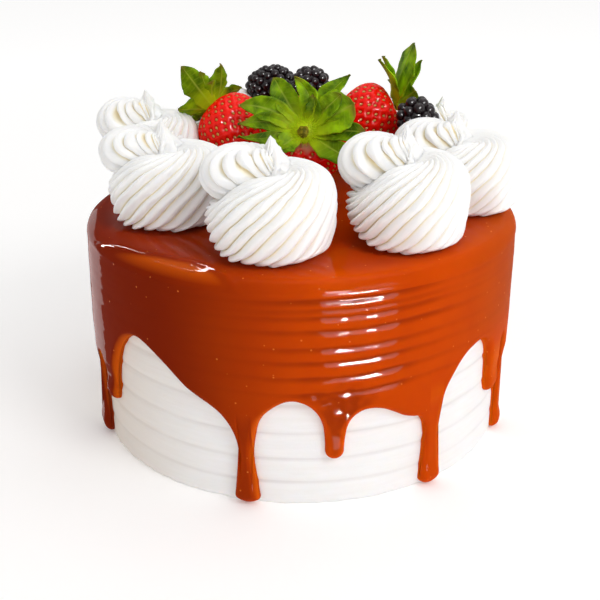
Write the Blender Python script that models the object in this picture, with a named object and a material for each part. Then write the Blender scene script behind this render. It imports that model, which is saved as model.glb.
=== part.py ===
"""An uncut white layer cake under a caramel glaze, with whipped-cream rosettes and fresh fruit.

Metres, +Z up. The origin is the middle of the cake's underside, and the shown front faces -Y.
Azimuths are in degrees round the cake, 0 at the front and growing towards +X.
"""
import bpy
import bmesh
from math import cos, exp, pi, radians, sin, sqrt
from mathutils import Matrix, Vector

MM = 0.001

# Driving dimensions
CAKE_RADIUS = 84.6 * MM
CAKE_HEIGHT = 89.4 * MM
CAKE_SHOULDER = 5.0 * MM
COMB_PITCH = 8.8 * MM
COMB_DEPTH = 0.5 * MM
PLAN_WOBBLE = 0.5 * MM
SWELL = 1.8 * MM
SWELL_AZIMUTH = -88.0
GLAZE_TOP = 93.0 * MM
GLAZE_SKIN = 3.5 * MM
GLAZE_SHOULDER = 6.0 * MM
FIT_GAP = 0.3 * MM
WALL_GAP = 0.5 * MM
WELD = 0.001 * MM

# Iced cake: how far its foot is drawn in, and how high the first comb crest stands as a share of the pitch
FOOT_INSET = 0.8 * MM
FIRST_CREST = 0.25

# Faceting: columns round each body, and the steps (degrees) between the glaze's columns over an arch
CAKE_COLUMNS = 34
ARCH_STEP = 6.5
BERRY_COLUMNS = 16
BERRY_ROWS = 9

# Height (mm) at which the drips that reach the floor stop short of it
FLOOR = 0.5
# Heights (mm) between which a drip stands out of the even skin above it
DRIP_START = 46.0
DRIP_FULL = 30.0
# How much thicker a free drip is along its middle, and thinner along its edges, as shares of the skin
DRIP_CROWN = 0.10
DRIP_THIN = 0.45
# Columns of a drip as shares of its half width; the outermost two stand beside it
DRIP_SHARES = (-1.16, -1.0, -0.4, 0.4, 1.0, 1.16)
# Rows of the glaze down its side, as shares of the way, and the row halfway up behind it
SIDE_SHARES = (0.25, 0.55, 0.82, 1.0)
BACK_SHARE = 0.55
# The round lower edge: shares of the skin's thickness out from the wall, and of half of it up from the edge
BEAD = [(0.82, 0.3), (0.5, 0.0), (0.0, 0.3)]

# Drips: azimuth of the middle, width (mm), height of the lower end (mm), width of the foot (mm)
DRIPS = [
    (-163.0, 8.0, FLOOR, 11.0),
    (-134.0, 9.0, 26.0, 9.0),
    (-104.0, 7.0, FLOOR, 10.0),
    (-71.5, 8.0, FLOOR, 13.0),
    (-62.5, 8.5, 22.0, 8.5),
    (-14.1, 5.8, FLOOR, 11.0),
    (7.9, 7.2, 21.3, 7.4),
    (34.7, 7.6, FLOOR, 10.0),
    (62.0, 11.0, 27.3, 11.0),
    (71.5, 6.0, FLOOR, 9.0),
    (102.0, 8.0, 18.0, 8.0),
    (129.0, 7.0, FLOOR, 10.5),
    (161.0, 9.0, 24.0, 9.0),
]

# Arches of bare icing between each drip and the next: azimuth and height (mm) of the crown, then the
# height where the curve meets each drip and the power of its fall, for the left and the right side
ARCHES = [
    (-148.0, 52.0, 34.0, 2.4, 33.0, 2.2),
    (-120.0, 49.0, 32.0, 2.2, 30.0, 2.6),
    (-88.0, 55.0, 33.0, 2.4, 34.0, 2.4),
    (-67.2, 40.0, 37.0, 2.0, 36.0, 2.0),
    (-43.7, 60.3, 33.0, 2.8, 34.0, 1.2),
    (-2.5, 46.2, 33.0, 3.0, 31.0, 3.4),
    (17.6, 41.1, 31.0, 2.6, 32.0, 1.1),
    (48.5, 55.2, 37.0, 2.2, 35.0, 4.0),
    (67.8, 43.0, 40.0, 2.0, 39.0, 2.0),
    (87.0, 53.0, 34.0, 2.6, 30.0, 2.0),
    (116.0, 47.0, 31.0, 2.2, 33.0, 2.6),
    (145.0, 54.0, 35.0, 2.4, 31.0, 2.2),
    (179.0, 50.0, 33.0, 2.4, 34.0, 2.4),
]
# Radius (mm) of the hollow where an arch meets a drip
FILLET = 4.0

# Rosettes: ridges round each, the depth of a groove as a share of the radius, and how far (degrees) the
# ridges wind from foot to tip, slowly at first
RIDGES = 22
RIDGE_DEPTH = 0.085
SWIRL = 125.0
SWIRL_POWER = 1.3
DRIFT_POWER = 1.5
# Rosettes: place (mm), radius, height, drift of the peak in x and y, turn of the ridges (degrees), and
# how far the upper part falls away from the full profile (1 is full)
ROSETTES = {
    "front": (-12.5, -53.5, 25.8, 41.5, 1.5, 2.0, 0.0, 1.0),
    "front_right": (38.5, -43.0, 24.5, 42.0, 0.0, 6.0, 20.0, 1.0),
    "right": (67.5, -1.5, 25.0, 38.0, -4.0, 3.0, 45.0, 1.9),
    "back_right": (60.5, 44.0, 19.5, 36.0, 2.0, -5.0, 80.0, 1.6),
    "back": (9.0, 68.0, 19.8, 41.0, 2.0, -1.0, 110.0, 2.0),
    "back_left": (-37.5, 66.5, 20.5, 38.0, 0.0, 0.0, 150.0, 1.6),
    "left": (-66.0, 31.0, 22.3, 41.0, -2.0, 3.0, 190.0, 1.7),
    "front_left": (-53.5, -16.0, 25.5, 39.0, -2.0, 0.0, 240.0, 1.0),
}
# Rows up a rosette from its foot to its pulled tip: share of the height, share of the radius, and how far
# the turn of cream laid on top leans to the left, as a share of the radius
ROSETTE_PROFILE = [
    (0.0, 0.80, 0.0),
    (0.12, 0.94, 0.0),
    (0.38, 1.0, 0.0),
    (0.60, 0.90, 0.02),
    (0.75, 0.66, 0.06),
    (0.87, 0.41, 0.15),
]

# Strawberries: middle (mm, heights over the glaze), heading and tilt of the leafy end, radius, length
STRAWBERRIES = {
    "centre": (5.3, 22.5, 21.0, -15.0, 27.0, 18.0, 34.0),
    "left": (-28.0, 31.0, 22.0, -125.0, 34.0, 15.0, 34.0),
    "right": (28.5, 42.0, 25.0, 97.0, 24.0, 14.3, 32.0),
}
# Strawberry skin: how much fuller the leafy end is, and the depth (mm) and spread (radians) of its dip
BERRY_FULLNESS = 0.24
BERRY_LUMPS = 0.02
DIP_DEPTH = 2.45
DIP_SPREAD = 0.42

# Calyx: hub and stem (mm), then the leaf's thickness, where it starts in the hub, its narrowest share of
# the width, the height of its arch, and how much its edges wave
HUB_RADIUS = 3.4
HUB_FLATNESS = 0.42
HUB_DROP = 0.3
STEM_FOOT = 1.5
STEM_TOP = 1.1
STEM_LENGTH = 3.4
STEM_RISE = 1.2
LEAF_THICKNESS = 0.7
LEAF_ROOT = 2.2
LEAF_SINK = 1.0
LEAF_NARROW = 0.16
LEAF_ARCH = 1.6
LEAF_WAVE = 0.35
LEAF_WAVES = 9.0
# Leaves of each calyx: angle round it from upright, reach (mm), width, rise of the tip, cup
CALYX_LEAVES = {
    "centre": [
        (-91.0, 27.5, 9.0, 5.0, 1.0), (-74.0, 28.5, 9.5, 5.0, 1.2), (-105.0, 27.0, 7.0, 8.0, 0.6),
        (-35.0, 27.0, 10.0, 2.0, 1.2), (-21.0, 22.0, 8.0, 6.0, 1.6), (38.0, 29.0, 9.0, 5.0, 1.4),
        (63.0, 26.0, 17.0, 3.0, 2.0), (90.0, 26.0, 9.5, 3.0, 1.2), (117.0, 27.0, 9.5, 2.0, 1.2),
        (-135.0, 13.0, 8.0, 1.9, 0.8),
    ],
    "left": [
        (47.5, 26.0, 11.0, 11.0, 1.6), (30.0, 18.0, 8.0, 7.5, 1.0), (8.0, 15.0, 9.0, 4.0, 1.4),
        (-12.0, 20.0, 9.0, 7.0, 1.4), (-69.0, 19.0, 7.5, 0.5, 1.0), (95.0, 17.0, 9.0, 4.5, 1.2),
        (150.0, 12.0, 7.0, 1.0, 0.8), (-130.0, 13.0, 7.0, 1.0, 0.8),
    ],
    "right": [
        (-15.0, 24.0, 8.0, -1.0, 2.0), (4.0, 22.0, 7.0, 3.0, 1.4), (-8.0, 24.0, 12.0, 13.0, 2.0),
        (-32.0, 21.0, 9.0, 14.0, 1.4), (-72.0, 12.0, 9.0, 6.0, 2.2), (62.0, 16.0, 9.0, 2.0, 1.2),
        (140.0, 9.5, 7.0, 1.5, 0.8), (-140.0, 8.5, 6.0, 1.0, 0.8),
    ],
}

# Brambles: depth of the furrows between the drupelets as a share of the radius, how far (in radii) a
# furrow lies from a drupelet's middle, and how much slimmer the far end is
FURROW_DEPTH = 0.12
FURROW_REACH = 0.29
BRAMBLE_TAPER = 0.14
# Brambles: middle (mm, heights over the glaze), heading and tilt of the long axis, radius, length
BRAMBLES = {
    "right": (50.0, 22.0, 30.0, 120.0, -30.0, 9.0, 20.0),
    "back_right": (4.0, 48.5, 39.0, -35.0, 20.0, 9.0, 18.5),
    "back_left": (-14.0, 62.0, 36.5, -90.0, -6.0, 9.2, 24.0),
}

# Materials: red, green and blue in linear light, roughness, share of light scattered under the surface
MATERIALS = {
    "white icing": ((0.86, 0.84, 0.79), 0.55, 0.0),
    "caramel glaze": ((0.38, 0.085, 0.01), 0.12, 0.0),
    "whipped cream": ((0.90, 0.88, 0.83), 0.5, 0.2),
    "strawberry skin": ((0.62, 0.02, 0.015), 0.25, 0.0),
    "strawberry leaf": ((0.10, 0.22, 0.03), 0.45, 0.0),
    "bramble skin": ((0.012, 0.008, 0.014), 0.2, 0.0),
}


def pick_material(name):
    """A Principled material with the values of its row."""
    colour, roughness, subsurface = MATERIALS[name]
    material = bpy.data.materials.new(name)
    material.use_nodes = True
    shader = material.node_tree.nodes["Principled BSDF"]
    shader.inputs["Base Color"].default_value = (*colour, 1.0)
    shader.inputs["Roughness"].default_value = roughness
    shader.inputs["Subsurface Weight"].default_value = subsurface
    return material


def add_object(name, bm, material):
    """Closes off a bmesh as a named object with one material and smooth faces."""
    mesh = bpy.data.meshes.new(name)
    bmesh.ops.recalc_face_normals(bm, faces=bm.faces)
    bm.to_mesh(mesh)
    bm.free()
    mesh.shade_smooth()
    mesh.materials.append(material)
    body = bpy.data.objects.new(name, mesh)
    bpy.context.scene.collection.objects.link(body)
    return body


def wrap_grid(columns, rows, place):
    """A closed surface with its columns round an axis and its rows from one pole to the other."""
    bm = bmesh.new()
    bmesh.ops.create_grid(bm, x_segments=columns, y_segments=rows, size=1.0)
    for vertex in bm.verts:
        column = round((vertex.co.x + 1.0) * columns / 2.0) % columns
        row = round((vertex.co.y + 1.0) * rows / 2.0)
        vertex.co = place(column, row)
    bmesh.ops.remove_doubles(bm, verts=bm.verts, dist=WELD)
    return bm


def on_side(azimuth, radius, height):
    """The point at an azimuth in degrees, a radius and a height round the cake's axis."""
    angle = radians(azimuth)
    return Vector((radius * sin(angle), -radius * cos(angle), height))


def wobble(azimuth, height):
    """How far the side strays from a true drum: wider than deep, and swollen low down on the left."""
    swell = SWELL * max(0.0, cos(radians(azimuth - SWELL_AZIMUTH))) ** 2 * (1.0 - (height / GLAZE_TOP) ** 2)
    return swell - PLAN_WOBBLE * cos(radians(2.0 * azimuth))


def build_cake(material):
    """The iced cake: a drum with shallow comb lines round its side and a soft shoulder."""
    profile = [(0.0, 0.0), (CAKE_RADIUS - FOOT_INSET, 0.0)]
    rings = int((CAKE_HEIGHT - CAKE_SHOULDER) / COMB_PITCH)
    for ring in range(rings):
        crest = (ring + FIRST_CREST) * COMB_PITCH
        profile.append((CAKE_RADIUS, crest))
        profile.append((CAKE_RADIUS - COMB_DEPTH, crest + COMB_PITCH / 2.0))
    for step in range(3):
        angle = step * pi / 4.0
        radius = CAKE_RADIUS - CAKE_SHOULDER * (1.0 - cos(angle))
        profile.append((radius, CAKE_HEIGHT - CAKE_SHOULDER * (1.0 - sin(angle))))
    profile.append((0.0, CAKE_HEIGHT))

    def place(column, row):
        azimuth = 360.0 * column / CAKE_COLUMNS
        radius, height = profile[row]
        if radius > 0.0:
            radius += wobble(azimuth, height)
        return on_side(azimuth, radius, height)

    bm = wrap_grid(CAKE_COLUMNS, len(profile) - 1, place)
    return add_object("cake", bm, material)


def turn_between(start, end):
    """Degrees from one azimuth on to another, going round towards +X."""
    return (end - start) % 360.0


def arc_length(turn):
    """Millimetres along the glazed side for a turn in degrees."""
    return radians(turn) * (CAKE_RADIUS + GLAZE_SKIN) / MM


def offset_from(drip, azimuth):
    """Millimetres along the side from a drip's middle to an azimuth."""
    turn = (azimuth - drip[0] + 180.0) % 360.0 - 180.0
    return arc_length(turn)


def share_of_drip(azimuth):
    """The drip that an azimuth lies in and how far out in it, from 0 to 1, or no drip and 1."""
    for drip in DRIPS:
        offset = abs(offset_from(drip, azimuth)) / (drip[1] / 2.0)
        if offset <= 1.001:
            return drip, min(1.0, offset)
    return None, 1.0


def glaze_edge(azimuth):
    """Height in mm of the glaze's lower edge: drips with round ends, and arches between them."""
    drip, share = share_of_drip(azimuth)
    if drip:
        return drip[2] + drip[1] / 2.0 * (1.0 - sqrt(1.0 - share * share))
    for index, arch in enumerate(ARCHES):
        left = DRIPS[index]
        right = DRIPS[(index + 1) % len(DRIPS)]
        if turn_between(left[0], azimuth) < turn_between(left[0], right[0]):
            break
    crown, height, left_end, left_power, right_end, right_power = arch
    if turn_between(left[0], azimuth) < turn_between(left[0], crown):
        drip, end, power = left, left_end, left_power
    else:
        drip, end, power = right, right_end, right_power
    reach = abs(offset_from(drip, crown)) - drip[1] / 2.0
    beside = abs(offset_from(drip, azimuth)) - drip[1] / 2.0
    share = max(0.0, 1.0 - beside / reach)
    corner = max(0.0, 1.0 - beside / FILLET)
    return height - (height - end) * share ** power - FILLET * (1.0 - sqrt(1.0 - corner * corner))


def glaze_columns():
    """Azimuths of the glaze's columns: close together over the drips, wider over the arches."""
    azimuths = []
    for index, drip in enumerate(DRIPS):
        azimuths += [drip[0] + share * drip[1] / 2.0 / arc_length(1.0) for share in DRIP_SHARES]
        right = DRIPS[(index + 1) % len(DRIPS)]
        start = azimuths[-1]
        last = start + turn_between(start, right[0] + DRIP_SHARES[0] * right[1] / 2.0 / arc_length(1.0))
        count = int((last - start) / ARCH_STEP)
        azimuths += [start + (last - start) * (step + 1) / (count + 1) for step in range(count)]
    return azimuths


def wall(azimuth, height):
    """Radius of the glaze's inner face at a height."""
    return CAKE_RADIUS + WALL_GAP + wobble(azimuth, height)


def glaze_section(azimuth):
    """The glaze cut through at an azimuth: points from its top's middle, down its face and up inside."""
    edge = glaze_edge(azimuth) * MM
    base = GLAZE_TOP - GLAZE_SHOULDER
    inner_top = CAKE_HEIGHT + FIT_GAP
    drip, share = share_of_drip(azimuth)
    foot = drip[0] + (azimuth - drip[0]) * drip[3] / drip[1] if drip else azimuth

    def thickness(height):
        """Thickness of the skin, which is rounder where a drip runs free of it."""
        free = min(1.0, max(0.0, (DRIP_START - height / MM) / (DRIP_START - DRIP_FULL))) if drip else 0.0
        crown = (DRIP_CROWN + DRIP_THIN) * sqrt(1.0 - share * share)
        return GLAZE_SKIN * (1.0 + free * (crown - DRIP_THIN))

    section = [on_side(azimuth, 0.0, GLAZE_TOP)]
    for angle in (0.0, pi / 4.0, pi / 2.0):
        height = base + GLAZE_SHOULDER * cos(angle)
        radius = wall(azimuth, base) + GLAZE_SKIN - GLAZE_SHOULDER * (1.0 - sin(angle))
        section.append(on_side(azimuth, radius, height))
    bead = thickness(edge) / 2.0
    for way in SIDE_SHARES:
        height = base + (edge + bead - base) * way
        section.append(on_side(azimuth, wall(azimuth, height) + thickness(height), height))
    for out, up in BEAD:
        height = edge + up * bead
        section.append(on_side(foot, wall(azimuth, height) + out * thickness(edge), height))
    height = edge + BACK_SHARE * (base - edge)
    section.append(on_side(azimuth, wall(azimuth, height), height))
    section.append(on_side(azimuth, wall(azimuth, inner_top), inner_top))
    section.append(on_side(azimuth, 0.0, inner_top))
    return section


def build_glaze(material):
    """The glaze: a skin over the top and the side that ends in arches and running drips."""
    sections = [glaze_section(azimuth) for azimuth in glaze_columns()]
    bm = wrap_grid(len(sections), len(sections[0]) - 1, lambda column, row: sections[column][row])
    return add_object("caramel_glaze", bm, material)


def hold_back(point, place, neighbours):
    """Moves a point back to the plane midway to each neighbour, so pressed rosettes stay apart."""
    for other in neighbours:
        between = Vector((other[0] - place[0], other[1] - place[1], 0.0)) * MM
        direction = between.normalized()
        limit = between.length * place[2] / (place[2] + other[2]) - FIT_GAP / 2.0
        beyond = point.dot(direction) - limit
        if beyond > 0.0:
            point = point - direction * beyond
    return point


def build_rosette(name, material):
    """A piped rosette: ridges that wind up and inwards from a scalloped foot to a pulled tip."""
    spec = ROSETTES[name]
    neighbours = [other for key, other in ROSETTES.items() if key != name]
    x, y, radius, height, drift_x, drift_y, turn, fall = spec
    columns = 2 * RIDGES

    def place(column, row):
        if row == 0:
            return Vector((0.0, 0.0, 0.0))
        if row > len(ROSETTE_PROFILE):
            return Vector((drift_x, drift_y, height)) * MM
        rise, share, lean = ROSETTE_PROFILE[row - 1]
        relief = RIDGE_DEPTH if column % 2 else 0.0
        reach = radius * share ** fall * (1.0 - relief)
        azimuth = turn + 360.0 * column / columns + SWIRL * rise ** SWIRL_POWER
        point = on_side(azimuth, reach * MM, height * rise * MM)
        point += Vector((drift_x, drift_y, 0.0)) * rise ** DRIFT_POWER * MM
        point.x -= lean * radius * MM
        return hold_back(point, spec, neighbours)

    bm = wrap_grid(columns, len(ROSETTE_PROFILE) + 1, place)
    body = add_object("rosette_" + name, bm, material)
    body.location = (x * MM, y * MM, GLAZE_TOP + FIT_GAP)
    return body


def pose(x, y, z, heading, tilt):
    """Places a piece whose +Z points out at a heading and a tilt, with its +Y uppermost."""
    out = on_side(heading, cos(radians(tilt)), sin(radians(tilt)))
    up = (Vector((0.0, 0.0, 1.0)) - out * out.z).normalized()
    across = up.cross(out)
    turn = Matrix((across, up, out)).transposed().to_4x4()
    return Matrix.Translation((x * MM, y * MM, GLAZE_TOP + z * MM)) @ turn


def build_strawberry(name, material):
    """A strawberry: broad shoulders with a dip for the calyx, tapering to a blunt tip."""
    x, y, z, heading, tilt, radius, length = STRAWBERRIES[name]

    def place(column, row):
        polar = pi * row / BERRY_ROWS
        angle = 2.0 * pi * column / BERRY_COLUMNS
        reach = radius * sin(polar) * (1.0 + BERRY_FULLNESS * cos(polar))
        dip = DIP_DEPTH * exp(-((polar / DIP_SPREAD) ** 2))
        lumps = 1.0 + BERRY_LUMPS * sin(3.0 * angle + 2.0 * polar)
        across = reach * lumps * sin(angle)
        upward = reach * lumps * cos(angle)
        return Vector((across, upward, length / 2.0 * cos(polar) - dip)) * MM

    bm = wrap_grid(BERRY_COLUMNS, BERRY_ROWS, place)
    body = add_object("strawberry_" + name, bm, material)
    body.matrix_world = pose(x, y, z, heading, tilt)
    return body


def make_leaf(angle, reach, width, rise, cup, material):
    """One pointed sepal as a thin, cupped solid that starts inside the calyx's hub."""
    bm = bmesh.new()
    bmesh.ops.create_grid(bm, x_segments=2, y_segments=4, size=1.0)
    for vertex in bm.verts:
        side = vertex.co.x
        along = (vertex.co.y + 1.0) / 2.0
        half = width / 2.0 * max(LEAF_NARROW, sin(pi * (0.05 + 0.95 * along) ** 1.35) ** 0.85)
        out = LEAF_ROOT + (reach - LEAF_ROOT) * along
        lift = (rise + LEAF_SINK) * along ** 1.5 - LEAF_SINK + LEAF_ARCH * sin(pi * along)
        lift += cup * side * side * sin(pi * along) + LEAF_WAVE * side * sin(LEAF_WAVES * along + angle)
        vertex.co = Vector((side * half, out, lift)) * MM
    bmesh.ops.triangulate(bm, faces=bm.faces)
    bmesh.ops.solidify(bm, geom=bm.faces, thickness=LEAF_THICKNESS * MM)
    bmesh.ops.rotate(bm, verts=bm.verts, matrix=Matrix.Rotation(-radians(angle), 3, "Z"))
    return add_object("leaf", bm, material)


def keep_outer_shell(mesh):
    """Removes every island of faces but the largest, such as a pocket sealed between two leaves."""
    bm = bmesh.new()
    bm.from_mesh(mesh)
    left = set(bm.verts)
    islands = []
    while left:
        island = set()
        waiting = [left.pop()]
        while waiting:
            vertex = waiting.pop()
            island.add(vertex)
            near = [edge.other_vert(vertex) for edge in vertex.link_edges]
            waiting += [other for other in near if other in left]
            left.difference_update(near)
        islands.append(island)
    largest = max(islands, key=len)
    spare = [vertex for vertex in bm.verts if vertex not in largest]
    bmesh.ops.delete(bm, geom=spare, context="VERTS")
    bm.to_mesh(mesh)
    bm.free()


def build_calyx(name, material):
    """The calyx: a small hub with the stub of the stem, and its leaves joined to it."""
    x, y, z, heading, tilt, radius, length = STRAWBERRIES[name]
    bm = bmesh.new()
    bmesh.ops.create_uvsphere(bm, u_segments=8, v_segments=5, radius=HUB_RADIUS * MM)
    bmesh.ops.scale(bm, verts=bm.verts, vec=(1.0, 1.0, HUB_FLATNESS))
    bmesh.ops.translate(bm, verts=bm.verts, vec=(0.0, 0.0, -HUB_DROP * MM))
    calyx = add_object("calyx_" + name, bm, material)
    extras = bpy.data.collections.new("leaves_" + name)
    bpy.context.scene.collection.children.link(extras)
    pieces = [make_leaf(*leaf, material) for leaf in CALYX_LEAVES[name]]
    bm = bmesh.new()
    bmesh.ops.create_cone(
        bm, cap_ends=True, segments=6,
        radius1=STEM_FOOT * MM, radius2=STEM_TOP * MM, depth=STEM_LENGTH * MM)
    bmesh.ops.translate(bm, verts=bm.verts, vec=(0.0, 0.0, STEM_RISE * MM))
    pieces.append(add_object("stem", bm, material))
    for piece in pieces:
        bpy.context.scene.collection.objects.unlink(piece)
        extras.objects.link(piece)
    union = calyx.modifiers.new("union", "BOOLEAN")
    union.operation = "UNION"
    union.operand_type = "COLLECTION"
    union.collection = extras
    union.solver = "EXACT"
    depsgraph = bpy.context.evaluated_depsgraph_get()
    joined = bpy.data.meshes.new_from_object(calyx.evaluated_get(depsgraph))
    calyx.modifiers.clear()
    keep_outer_shell(joined)
    calyx.data = joined
    for piece in pieces:
        bpy.data.objects.remove(piece)
    bpy.data.collections.remove(extras)
    seat = pose(x, y, z, heading, tilt)
    calyx.matrix_world = seat @ Matrix.Translation((0.0, 0.0, length / 2.0 * MM))
    return calyx


def build_bramble(name, material):
    """A bramble: an egg-shaped heap of round drupelets, each one raised over the furrows."""
    x, y, z, heading, tilt, radius, length = BRAMBLES[name]
    bm = bmesh.new()
    bmesh.ops.create_icosphere(bm, subdivisions=2, radius=1.0)
    centres = [vertex.co.copy() for vertex in bm.verts]
    bm.free()
    bm = bmesh.new()
    bmesh.ops.create_icosphere(bm, subdivisions=3, radius=1.0)
    for vertex in bm.verts:
        direction = vertex.co.normalized()
        nearest = min((direction - centre).length for centre in centres)
        swell = 1.0 - FURROW_DEPTH * min(1.0, nearest / FURROW_REACH)
        taper = 1.0 - BRAMBLE_TAPER * direction.z
        girth = radius * taper
        shape = Vector((girth * direction.x, girth * direction.y, length / 2.0 * direction.z))
        vertex.co = shape * swell * MM
    body = add_object("bramble_" + name, bm, material)
    body.matrix_world = pose(x, y, z, heading, tilt)
    return body


def main():
    """Clears the scene and builds every piece."""
    for leftover in list(bpy.data.objects):
        bpy.data.objects.remove(leftover)
    build_cake(pick_material("white icing"))
    build_glaze(pick_material("caramel glaze"))
    cream = pick_material("whipped cream")
    strawberry = pick_material("strawberry skin")
    leaf = pick_material("strawberry leaf")
    bramble = pick_material("bramble skin")
    for name in ROSETTES:
        build_rosette(name, cream)
    for name in STRAWBERRIES:
        build_strawberry(name, strawberry)
        build_calyx(name, leaf)
    for name in BRAMBLES:
        build_bramble(name, bramble)
    bpy.context.view_layer.update()


main()
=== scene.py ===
# %% [markdown]
# # A white layer cake under caramel, with whipped-cream rosettes and fresh fruit
# This lesson dresses the plain solids of a cake as the real thing. The solids are loaded first and stay
# where they are: each dressed piece is built around the same named sizes, in metres, with +Z up, the
# middle of the cake's underside at the origin and the shown front towards -Y.

# %% Load the solids
import random
import bmesh
import bpy
from collections import namedtuple
from math import cos, exp, pi, radians, sin, sqrt
from mathutils import Matrix, Vector, kdtree, noise


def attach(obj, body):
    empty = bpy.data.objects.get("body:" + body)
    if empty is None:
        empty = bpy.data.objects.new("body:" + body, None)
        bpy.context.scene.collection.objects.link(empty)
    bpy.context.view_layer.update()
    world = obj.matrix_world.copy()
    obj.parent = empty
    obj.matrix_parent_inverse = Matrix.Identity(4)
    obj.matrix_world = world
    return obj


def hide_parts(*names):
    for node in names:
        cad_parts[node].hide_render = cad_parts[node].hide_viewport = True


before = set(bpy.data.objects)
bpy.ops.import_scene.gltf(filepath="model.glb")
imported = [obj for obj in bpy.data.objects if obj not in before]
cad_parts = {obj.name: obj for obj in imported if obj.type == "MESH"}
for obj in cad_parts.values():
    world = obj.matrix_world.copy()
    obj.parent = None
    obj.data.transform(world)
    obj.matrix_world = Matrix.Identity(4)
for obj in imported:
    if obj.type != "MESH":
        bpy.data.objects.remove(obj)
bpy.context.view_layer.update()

# %% [markdown]
# ## The camera
# The cake is seen from about 40 cm in front of its axis and a little above it, as across a table, through a
# short telephoto lens. The camera is placed by its own three axes, so that its very slight roll is kept.

# %% Place the camera
MM = 0.001
# Focal length and sensor width (mm), the nearest distance seen (m), the eye's place (m) and the three axes
LENS = 59.965
SENSOR = 36.0
NEAREST = 0.01
EYE = Vector((0.000465, -0.40084, 0.222006))
LOOK_RIGHT = Vector((0.999973, 0.000392717, -0.00729886))
LOOK_UP = Vector((0.0065398, 0.39793566, 0.91739))
LOOK_BACK = Vector((0.00326475, -0.91741324, 0.39792246))


def link_object(name, data):
    """A new object that holds the data, linked to the scene."""
    thing = bpy.data.objects.new(name, data)
    bpy.context.scene.collection.objects.link(thing)
    return thing


camera_data = bpy.data.cameras.new("camera")
camera_data.lens = LENS
camera_data.sensor_width = SENSOR
camera_data.clip_start = NEAREST
camera = link_object("camera", camera_data)
facing = Matrix((LOOK_RIGHT, LOOK_UP, LOOK_BACK)).transposed().to_4x4()
camera.matrix_world = Matrix.Translation(EYE) @ facing
bpy.context.scene.camera = camera
print("camera at", [round(v, 3) for v in EYE])

# %% [markdown]
# ## Colours and nodes
# Food colours are picked as sRGB hex values, as in any paint program, but the shader works in linear light,
# so one function turns the one into the other. A second one adds a node with its settings and links.


# %% Colours and nodes
def hex_colour(code):
    """Linear red, green, blue and alpha of an sRGB hex colour such as #f4efe6."""
    channels = [int(code[start:start + 2], 16) / 255.0 for start in (1, 3, 5)]
    linear = [c / 12.92 if c <= 0.04045 else ((c + 0.055) / 1.055) ** 2.4 for c in channels]
    return (*linear, 1.0)


def add_node(material, kind, settings, inputs):
    """Adds a node. Settings are its own properties; an input is a value, or an output to link to it."""
    node = material.node_tree.nodes.new(kind)
    for key, value in settings.items():
        setattr(node, key, value)
    for key, value in inputs.items():
        if isinstance(value, bpy.types.NodeSocket):
            material.node_tree.links.new(value, node.inputs[key])
        else:
            node.inputs[key].default_value = value
    return node


def start_material(name, values):
    """A material with a Principled shader, whose plain inputs are set from the values."""
    material = bpy.data.materials.new(name)
    material.use_nodes = True
    shader = material.node_tree.nodes["Principled BSDF"]
    for key, value in values.items():
        shader.inputs[key].default_value = value
    return material


def feed_shader(material, links):
    """Links outputs to the inputs of the material's Principled shader."""
    shader = material.node_tree.nodes["Principled BSDF"]
    for key, output in links.items():
        material.node_tree.links.new(output, shader.inputs[key])


# Sockets of the Mix node when it mixes colours
MIX_FACTOR = 0
MIX_A = 6
MIX_B = 7
MIX_RESULT = 2
print("white cream in linear light:", [round(v, 3) for v in hex_colour("#fbf8f2")])

# %% [markdown]
# ## Table and light
# The table is a plain pale sheet that reaches past every edge of the picture. It glows a little, and more so
# away from the cake, so that it runs out to white. A bright room, a little darker on the left, fills the
# hollows of the white cream and still lets its ridges show. Soft boxes on the right and overhead give the
# form its light side. The other boxes light nothing and are only seen mirrored in what is wet. The glint
# tells the eye how smooth the berries are. The windows are linked to the caramel alone, so that each can be
# as bright as its streaks need. The table isn't mirrored: that would lay a grey veil over the caramel.

# %% The table
WHITE = (1.0, 1.0, 1.0, 1.0)
TABLE_COLOUR = "#fdfcfb"
TABLE_REACH = 3.0
# How much the table glows near and far, and the distances from the cake's axis (m) between which that grows
TABLE_GLOW_NEAR = 0.12
TABLE_GLOW_FAR = 0.28
GLOW_STARTS = 0.15
GLOW_ENDS = 0.9

table_paint = start_material("matt paper", {
    "Base Color": hex_colour(TABLE_COLOUR),
    "Roughness": 0.9,
    "Emission Color": WHITE,
})
paper_grain = add_node(table_paint, "ShaderNodeTexNoise", {}, {"Scale": 900.0, "Detail": 2.0})
paper_bump = add_node(table_paint, "ShaderNodeBump", {}, {
    "Strength": 0.05, "Distance": 0.1 * MM, "Height": paper_grain.outputs["Fac"]})
place_on = add_node(table_paint, "ShaderNodeTexCoord", {}, {})
from_cake = add_node(table_paint, "ShaderNodeVectorMath", {"operation": "LENGTH"}, {
    0: place_on.outputs["Object"]})
table_glow = add_node(table_paint, "ShaderNodeMapRange", {}, {
    "Value": from_cake.outputs["Value"], "From Min": GLOW_STARTS, "From Max": GLOW_ENDS,
    "To Min": TABLE_GLOW_NEAR, "To Max": TABLE_GLOW_FAR})
feed_shader(table_paint, {
    "Normal": paper_bump.outputs["Normal"],
    "Emission Strength": table_glow.outputs["Result"],
})
bm = bmesh.new()
bmesh.ops.create_grid(bm, x_segments=1, y_segments=1, size=TABLE_REACH)
table_mesh = bpy.data.meshes.new("table")
bm.to_mesh(table_mesh)
bm.free()
table_mesh.materials.append(table_paint)
table = link_object("table", table_mesh)
table.visible_glossy = False
print("table:", 2.0 * TABLE_REACH, "m across")

# %% The room
ROOM_LEFT = 0.58
ROOM_RIGHT = 0.77

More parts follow.
